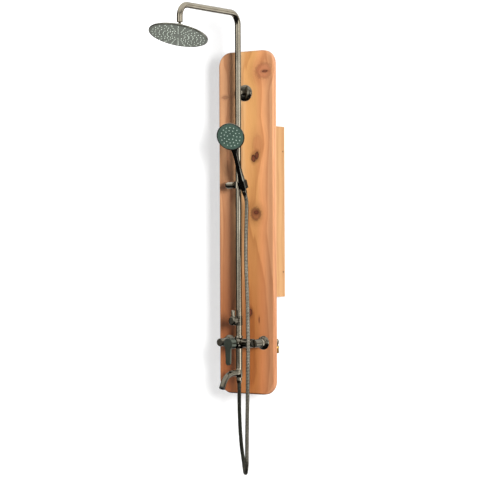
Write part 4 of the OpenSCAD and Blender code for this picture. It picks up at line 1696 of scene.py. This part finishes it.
@dataclass
class HandShower:
    """The hand shower: a handle that widens into a flat round head."""

    head_centre: float = 222.6
    head_tilt: float = 94.0
    rim: float = 50.0
    rim_top: float = 11.0
    wall: float = 3.0
    seat: float = 7.0
    gap: float = 0.02
    face: float = 46.9
    face_front: float = 10.2
    nozzle: float = 1.8
    rings: tuple[tuple[int, float], ...] = ((5, 11.5), (11, 23), (16, 34.5))

    def handle(self) -> Surface:
        """The handle's skin.

        Each section at height t is an ellipse of half width a across; its front half has the
        half depth f and its back half b, all read between the rows of one table.

        Returns:
            The skin, in the hand shower's own place.
        """
        table = np.array(
            [
                (8, 6.5, 6.5, 6.5), (18.0, 6.5, 6.5, 6.5), (18.05, 8.2, 8.2, 8.2),
                (18.5, 8.6, 8.6, 8.6), (22, 9.2, 9.2, 9.2), (27, 10.35, 10.35, 10.35),
                (53, 12.35, 12.35, 12.35), (56, 12.3, 12.3, 12.3), (62, 11.7, 11.7, 11.7),
                (73, 10.6, 10.6, 10.6), (88, 9.75, 9.75, 9.75), (103, 9.2, 9.2, 9.2),
                (124, 9.0, 9.0, 9.0), (143, 9.0, 8.9, 9.0), (158, 9.7, 8.3, 9.4),
                (168, 11.3, 7.3, 10.2), (178, 14.2, 6.8, 10.8), (190, 18.5, 6.2, 11.2),
                (204, 21.0, 5.0, 11.0), (214, 19.0, 4.0, 8.0),
            ]
        )
        low = table[:5, 0]
        t = np.concatenate([low, np.linspace(23, 214, 60)])
        a, f, b = (np.interp(t, table[:, 0], table[:, k])[:, None] for k in (1, 2, 3))
        q = (np.arange(48) * 2 * math.pi / 48)[None, :]
        y = np.sin(q) * np.where(np.sin(q) < 0, f, b)
        return lofted(np.stack([a * np.cos(q), y, t[:, None] + 0 * y], -1))

    def head(self) -> Surface:
        """The head's shell: a domed back, a slim rim and the recess for the face.

        Returns:
            The skin.
        """
        r, top = self.rim, self.rim_top
        profile = [
            (0, -13), (18, -12.2), (34, -8.6), (44, -2.6), (r - 1.6, 4), (r, 8), (r, top - 1),
            (r - 1, top), (r - self.wall, top), (r - self.wall, self.seat), (0, self.seat),
        ]
        return lathed(profile, [1, 70, 50, 30, 12, 4, 0.8, 0.6, 0.4, 0.3, 1], 128, 8)

    def spray_face(self) -> Surface:
        """The face disc with a low centre button and one fine ring.

        Returns:
            The skin.
        """
        r, low, top = self.face, self.seat, self.face_front
        profile = [
            (0, low), (r, low), (r, top), (41.4, top), (41, top - 0.3), (40.2, top - 0.3),
            (39.8, top), (6, top), (5.2, top + 0.3), (0, top + 0.4),
        ]
        return lathed(profile, 0.3, 96, 4)

    def nozzles(self) -> Surface:
        """The face's soft nozzles, in rings.

        Returns:
            The skin of all of them.
        """
        h = self.nozzle
        profile = [(0, h - 0.6), (0.6, h - 0.6), (0.75, h), (1.15, h), (1.4, h - 0.3), (2, 0)]
        nub = turned(profile, 14)
        places = [
            turn(Axis.Z, 360 * i / count + radius) @ shift(radius, 0, self.face_front)
            for count, radius in self.rings
            for i in range(count)
        ]
        return repeated(nub, places)

    def nut(self) -> Surface:
        """The conical nut at the top of the hose.

        Returns:
            The skin.
        """
        profile = [
            (4, 0.1), (7.6, 0.1), (8.4, 6), (9, 9), (9, 17), (8.6, 17.95), (6.55, 17.95),
            (6.55, 7.95), (4, 7.95),
        ]
        return lathed(profile, [0.3, 0.5, 8, 4, 0.8, 0.3, 0.2, 0.2, 0.2], loop=True)

    def build(self, bench: Bench) -> None:
        """Places the hand shower on its body.

        Args:
            bench: Where the pieces take their places.
        """
        place = at_handset()
        head = place @ shift(0, 0, self.head_centre) @ turn(Axis.X, self.head_tilt)
        wide, low = self.rim - self.wall - self.gap, self.seat + self.gap
        top = self.rim_top + 1
        recess = turned([(0, low), (wide, low), (wide, top), (0, top)], 128)
        shell = machined(
            "handset",
            [self.head().placed(head), self.handle().placed(place)],
            [recess.placed(head)],
        )
        bench.place("hand_shower_shell", shell, CHROMED_PLASTIC, "handset_body", sharp=28)
        face = self.spray_face().placed(head)
        bench.place("hand_shower_spray_face", face, FACE, "handset_face")
        nubs = self.nozzles().placed(head)
        bench.place("hand_shower_nozzles", nubs, GREY_SILICONE, "handset_nozzles")
        bench.place("hose_top_nut", self.nut().placed(place), NICKEL, "upper_hose_nut")


@dataclass
class Holder:
    """The holder that slides on the riser and grips the hand shower."""

    copies: tuple[tuple[str, Finish], ...] = (
        ("slider_bush", WHITE_PLASTIC),
        ("slider_body", NICKEL),
        ("cradle_screw", ZINC),
        ("cradle", CHROMED_PLASTIC),
        ("cradle_liner", RUBBER),
    )

    def knob(self) -> Surface:
        """The lock knob: a stem, a smooth drum and a tapered round end.

        Returns:
            The skin.
        """
        profile = [
            (0, 12.7), (3, 12.7), (3, 19.4), (9.5, 19.4), (11.5, 21.2), (11.5, 44), (10.8, 49),
            (8.4, 53), (4.4, 54.8), (0, 55.2),
        ]
        return lathed(profile, [1, 0.3, 0.2, 0.5, 0.8, 14, 10, 5, 6, 1])

    def build(self, bench: Bench) -> None:
        """Places the holder.

        Args:
            bench: Where the pieces take their places.
        """
        bench.copy(self.copies)
        place = shift(0, COLUMN_Y, SLIDER_Z) @ turn(Axis.Y, -90)
        bench.place("holder_lock_knob", self.knob().placed(place), NICKEL, "lock_knob")


@dataclass
class Hose:
    """The ribbed metal hose between the hand shower and the outlet."""

    length: float = 1362.0
    outer: float = 7.0
    bore: float = 4.0
    rib: float = 5.1
    groove: float = 1.2
    crown: float = 0.35
    shares: tuple[float, ...] = (0, 0.08, 0.25, 0.5, 0.75, 0.92)
    sides: int = 16
    across: tuple[float, float, float] = (0.65, 0.76, 0.0)
    route: tuple[tuple[float, float, float], ...] = (
        (34, -160, 57), (34, -154.8, 44), (33.6, -151.6, 30), (33, -150.2, 10),
        (32.5, -151, -20), (33, -154, -70), (36, -160, -130), (43, -168, -210),
        (53, -175, -320), (60, -183, -405), (67, -191, -475), (70, -197, -540),
        (72, -201, -600), (75, -207, -662), (77, -212, -727), (79.5, -217, -784),
        (82.5, -222, -831), (85, -226, -867), (83, -223.5, -887), (75, -215.5, -906),
        (63.5, -202.5, -919), (49, -186, -923), (34.5, -169.5, -919), (22.5, -156.5, -906),
        (14, -149, -887), (8.5, -147, -865), (6, -149, -840), (4, -151, -808),
        (2, -152.7, -766), (0.5, -153.7, -718), (0, -154, -680), (0, -154, -645),
        (0, -154, -625), (0, -154, -611),
    )

    def line(self, steps: int = 24) -> Array:
        """The hose's axis.

        Between points b and c, with a before and d after, it is half of
        2b + (c - a) t + (2a - 5b + 4c - d) t^2 + (3b - a - 3c + d) t^3.

        Args:
            steps: Points on each stretch.

        Returns:
            The points.
        """
        p = np.array(self.route, float)
        p = np.vstack([2 * p[0] - p[1], p, 2 * p[-1] - p[-2]])[:, None]
        a, b, c, d = p[:-3], p[1:-2], p[2:-1], p[3:]
        t = (np.arange(steps) / steps)[None, :, None]
        curve = 0.5 * (
            2 * b + (c - a) * t + (2 * a - 5 * b + 4 * c - d) * t**2
            + (3 * b - a - 3 * c + d) * t**3
        )
        return np.vstack([curve.reshape(-1, 3), p[-2]])

    def skin(self) -> tuple[Surface, Array, Array]:
        """The hose's wall, ribbed outside and plain in its bore.

        Each rib has a round crown between narrow grooves: at a share q of the rib the radius is
        outer less groove times (1 - sin(pi q)^crown).

        Returns:
            The skin, the points of the axis, and how near to a crown each point of the skin is.
        """
        line = self.line()
        run = np.append(0, np.cumsum(np.linalg.norm(np.diff(line, axis=0), axis=1)))
        ribs = round(run[-1] / self.rib)
        q = np.array(self.shares)
        marks = ((np.arange(ribs)[:, None] + q[None]) / ribs * run[-1]).ravel()
        marks = np.append(marks, run[-1])
        crown = np.sin(math.pi * np.append(np.tile(q, ribs), 0)) ** self.crown
        radius = self.outer - self.groove * (1 - crown)
        path = np.stack([np.interp(marks, run, line[:, k]) for k in range(3)], -1)
        outside = rings_along(path, radius, self.across, self.sides)
        inside = rings_along(path[:: 2 * len(q)], self.bore, self.across, self.sides)[::-1]
        crown = np.append(np.repeat(crown, self.sides), np.zeros(self.sides * len(inside)))
        return lofted(np.concatenate([outside, inside]), ring=True), line, crown

    def foot_nut(self) -> Surface:
        """The nut at the hose's lower end, under the spout's tee.

        Returns:
            The skin, at its place.
        """
        profile = [
            (7.05, -590.1), (9.2, -590.1), (9.5, -592), (9.5, -601), (7.6, -611), (4, -611),
            (4, -600.1), (7.05, -600.1),
        ]
        nut = lathed(profile, [0.2, 0.4, 1, 8, 0.6, 0.3, 0.2, 0.2], loop=True)
        return nut.placed(shift(0, COLUMN_Y, 0))

    def build(self, bench: Bench) -> None:
        """Places the hose without a parent, and the nut at its foot.

        Args:
            bench: Where the pieces take their places.
        """
        skin, line, crown = self.skin()
        hose = bench.place("ribbed_hose", skin, HOSE_STEEL, "hose", sharp=50, ride=False)
        # The crown attribute lets the strip's material paint shade into the grooves.
        layer = hose.data.attributes.new("crown", "FLOAT", "POINT")
        layer.data.foreach_set("value", crown)
        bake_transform(hose)
        bench.place("hose_foot_nut", self.foot_nut(), NICKEL, "lower_hose_nut")


@dataclass(frozen=True)
class Panel:
    """A soft panel of the drawn room: its direction, its half angle and how bright it is."""

    way: tuple[float, float, float]
    half: float
    level: float


@dataclass
class Studio:
    """The camera, the lamps, the floor, the wall and the drawn room that the metal shows."""

    camera_at: tuple[float, float, float] = (3.7611, -5.2487, -0.128)
    azimuth: float = 36.378
    roll: float = -0.23
    lens: float = 133.5
    sensor: float = 36.0
    offset: tuple[float, float] = (-0.00104, 0.01563)
    floor_z: float = -1.5
    floor_r: float = 3.3
    floor_paint: float = 0.86
    aim: tuple[float, float, float] = (0, -0.15, 0)
    key_at: tuple[float, float, float] = (4.2, -3.1, 0.4)
    key: float = 570.0
    key_size: float = 1.2
    fill_at: tuple[float, float, float] = (-2.5, -5.0, 1.2)
    fill: float = 8.0
    fill_size: float = 3.0
    ambient: float = 0.1
    wall_half: float = 3.4
    wall_top: float = 2.4
    wall_gap: float = 0.002
    wall_paint: float = 0.46
    wall_lift: float = 0.54
    glow_x: tuple[float, float] = (-0.37, -0.23)
    facing: tuple[float, float, float] = (0.59, -0.8, 0)
    warmth: float = 0.95
    gloom: float = 0.02
    dip: float = 0.28
    dip_span: tuple[float, float] = (-0.2, 0.3)
    haze: float = 1.15
    haze_span: tuple[float, float] = (0.85, 0.97)
    haze_z: tuple[float, float] = (-0.09, -0.01)
    haze_share: tuple[float, float] = (0.12, 0.75)
    ground: float = 0.06
    ground_z: tuple[float, float] = (-0.3, -0.12)
    ceiling: float = 1.2
    ceiling_z: tuple[float, float] = (0.2, 0.7)
    behind: tuple[float, float, float] = (0.2, 0.14, 0.08)
    behind_y: tuple[float, float] = (0.1, 0.4)
    behind_low: tuple[float, float] = (-0.1, -0.06)
    behind_top: tuple[float, float] = (0.02, 0.15)
    panel_edge: float = 0.14
    panels: tuple[Panel, ...] = (
        Panel((0.99, -0.12, 0), 0.22, 2.8),
        Panel((-0.18, -0.96, 0.2), 0.2, 2.0),
        Panel((0.58, 0.75, 0.38), 0.35, 1.3),
        Panel((0.5, 0.8, -0.33), 0.3, 1.35),
        Panel((-0.58, 0.6, -0.55), 0.4, 0.6),
    )

    def camera(self) -> None:
        """Sets the camera at the photograph's angle."""
        data = bpy.data.cameras.new("camera")
        data.lens, data.sensor_width = self.lens, self.sensor
        data.shift_x, data.shift_y = self.offset
        data.clip_end = 100
        camera = added("camera", data)
        camera.location = self.camera_at
        matrix = turn(Axis.Z, self.azimuth) @ turn(Axis.X, 90) @ turn(Axis.Z, self.roll)
        camera.rotation_mode = "QUATERNION"
        camera.rotation_quaternion = Matrix(matrix.tolist()).to_quaternion()
        bpy.context.scene.camera = camera

    def lamp(self, name: str, at: Sequence[float], size: float, power: float) -> None:
        """Adds a square soft light that faces the shower's middle.

        Args:
            name: Its name.
            at: Its place in metres.
            size: Its side in metres.
            power: Its power in watts.
        """
        data = bpy.data.lights.new(name, "AREA")
        data.size, data.energy = size, power
        lamp = added(name, data)
        lamp.location = at
        way = Vector(self.aim) - lamp.location
        lamp.rotation_mode = "QUATERNION"
        lamp.rotation_quaternion = way.to_track_quat("-Z", "Y")
        lamp.visible_glossy = False

    def floor(self) -> None:
        """Lays a wide pale floor: a disc between a point's breadth and its full radius."""
        z = self.floor_z / MM
        disc = turned([(0.1, z), (self.floor_r / MM, z)], 96)
        mesh = mesh_of("floor", Surface(disc.points, disc.quads, []))
        material, s = blank_material("pale floor")
        pale = (self.floor_paint, self.floor_paint, self.floor_paint, 1)
        paint = s.add("BsdfPrincipled", Base_Color=pale, Roughness=0.9).outputs[0]
        s.add("OutputMaterial", Surface=paint)
        mesh.materials.append(material)
        floor = added("floor", mesh)
        floor.visible_glossy = False

    def wall(self) -> None:
        """Stands a white wall behind the shower that is clear from its back.

        It glows a little, most at its far left, so that the shadow on it stays soft and pale.
        """
        x = np.array([-1, 1, 1, -1]) * self.wall_half
        z = np.array([self.floor_z, self.floor_z, self.wall_top, self.wall_top])
        points = np.stack([x, np.full(4, self.wall_gap), z], -1) / MM
        mesh = mesh_of("wall", Surface(points, np.array([[0, 1, 2, 3]]), []))
        material, s = blank_material("white wall")
        white = (self.wall_paint, self.wall_paint, self.wall_paint, 1)
        paint = s.add("BsdfPrincipled", Base_Color=white, Roughness=1.0).outputs[0]
        where = s.add("SeparateXYZ", Vector=s.add("TexCoord").outputs["Object"]).outputs
        glow = s.remap(where[0], *self.glow_x, 1.0, self.wall_lift)
        lift = s.add("Emission", Strength=glow).outputs[0]
        lit = s.add("AddShader")
        s.feed(lit.inputs[0], paint)
        s.feed(lit.inputs[1], lift)
        shown = s.add("MixShader", Fac=s.add("NewGeometry").outputs["Backfacing"])
        s.feed(shown.inputs[1], lit.outputs[0])
        s.feed(shown.inputs[2], s.add("BsdfTransparent").outputs[0])
        s.add("OutputMaterial", Surface=shown.outputs[0])
        mesh.materials.append(material)
        if mesh.polygons[0].normal.y > 0:
            mesh.flip_normals()
        wall = added("wall", mesh)
        wall.visible_glossy = False

    def sky(self) -> None:
        """Lights the room.

        The camera sees white, and matt surfaces an even grey. Gloss sees a drawn room, which is
        a function of direction alone: dark below and behind, grey in front, bright above and at
        the soft panels, with a brown band along the horizon behind, where the board would be.
        """
        world = bpy.data.worlds.new("studio")
        world.use_nodes = True
        bpy.context.scene.world = world
        world.node_tree.nodes.clear()
        s = Sheet(world.node_tree)
        way = s.add("TexCoord").outputs["Generated"]
        axis = s.add("SeparateXYZ", Vector=way).outputs
        front = s.vector("DOT_PRODUCT", way, self.facing)
        shine: Any = s.remap(front, *self.dip_span, self.gloom, self.dip)
        haze = s.remap(front, *self.haze_span, 0.0, self.haze)
        haze = s.math("MULTIPLY", haze, s.remap(axis[2], *self.haze_z, *self.haze_share))
        shine = s.math("MAXIMUM", shine, haze)
        shine = s.math("MULTIPLY", shine, s.remap(axis[2], *self.ground_z, self.ground, 1.0))
        ceiling = s.remap(axis[2], *self.ceiling_z, 0.0, self.ceiling)
        shine = s.math("MAXIMUM", shine, ceiling)
        for panel in self.panels:
            dot = s.vector("DOT_PRODUCT", way, panel.way)
            edge = math.cos(panel.half + self.panel_edge)
            near = s.remap(dot, edge, math.cos(panel.half), 0.0, panel.level)
            shine = s.math("MAXIMUM", shine, near)
        blue = s.math("MULTIPLY", shine, self.warmth)
        gloss = s.add("CombineXYZ", X=shine, Y=shine, Z=blue).outputs[0]
        under = s.remap(axis[2], *self.behind_top, 1.0, 0.0)
        over = s.remap(axis[2], *self.behind_low)
        far = s.remap(axis[1], *self.behind_y)
        back = s.math("MULTIPLY", s.math("MULTIPLY", under, over), far)
        gloss = s.mix(back, gloss, (*self.behind, 1))
        path = s.add("LightPath").outputs
        even = (self.ambient, self.ambient, self.ambient, 1)
        level = s.mix(path["Is Glossy Ray"], even, gloss)
        level = s.mix(path["Is Camera Ray"], level, (1, 1, 1, 1))
        s.add("OutputWorld", Surface=s.add("Background", Color=level, Strength=1.0).outputs[0])

    def build(self) -> None:
        """Sets the lamps, the floor, the wall and the drawn room."""
        self.lamp("key", self.key_at, self.key_size, self.key)
        self.lamp("fill", self.fill_at, self.fill_size, self.fill)
        self.floor()
        self.wall()
        self.sky()
        bpy.context.scene.view_settings.view_transform = "Standard"


def main() -> None:
    """Builds the shower's looks in order, from the frame to the lights."""
    logging.basicConfig(level=logging.INFO, format="%(message)s", stream=sys.stdout)
    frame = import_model()
    studio = Studio()
    studio.camera()
    bench = Bench(frame)
    handset, hose = HandShower(), Hose()
    handset.build(bench)
    hose.build(bench)
    for part in (
        CedarBoard(), WallFrame(), Riser(), RainHead(), Mixer(), Lever(), Diverter(), Spout(),
        Holder(),
    ):
        part.build(bench)
    studio.build()


if __name__ == "__main__":
    main()
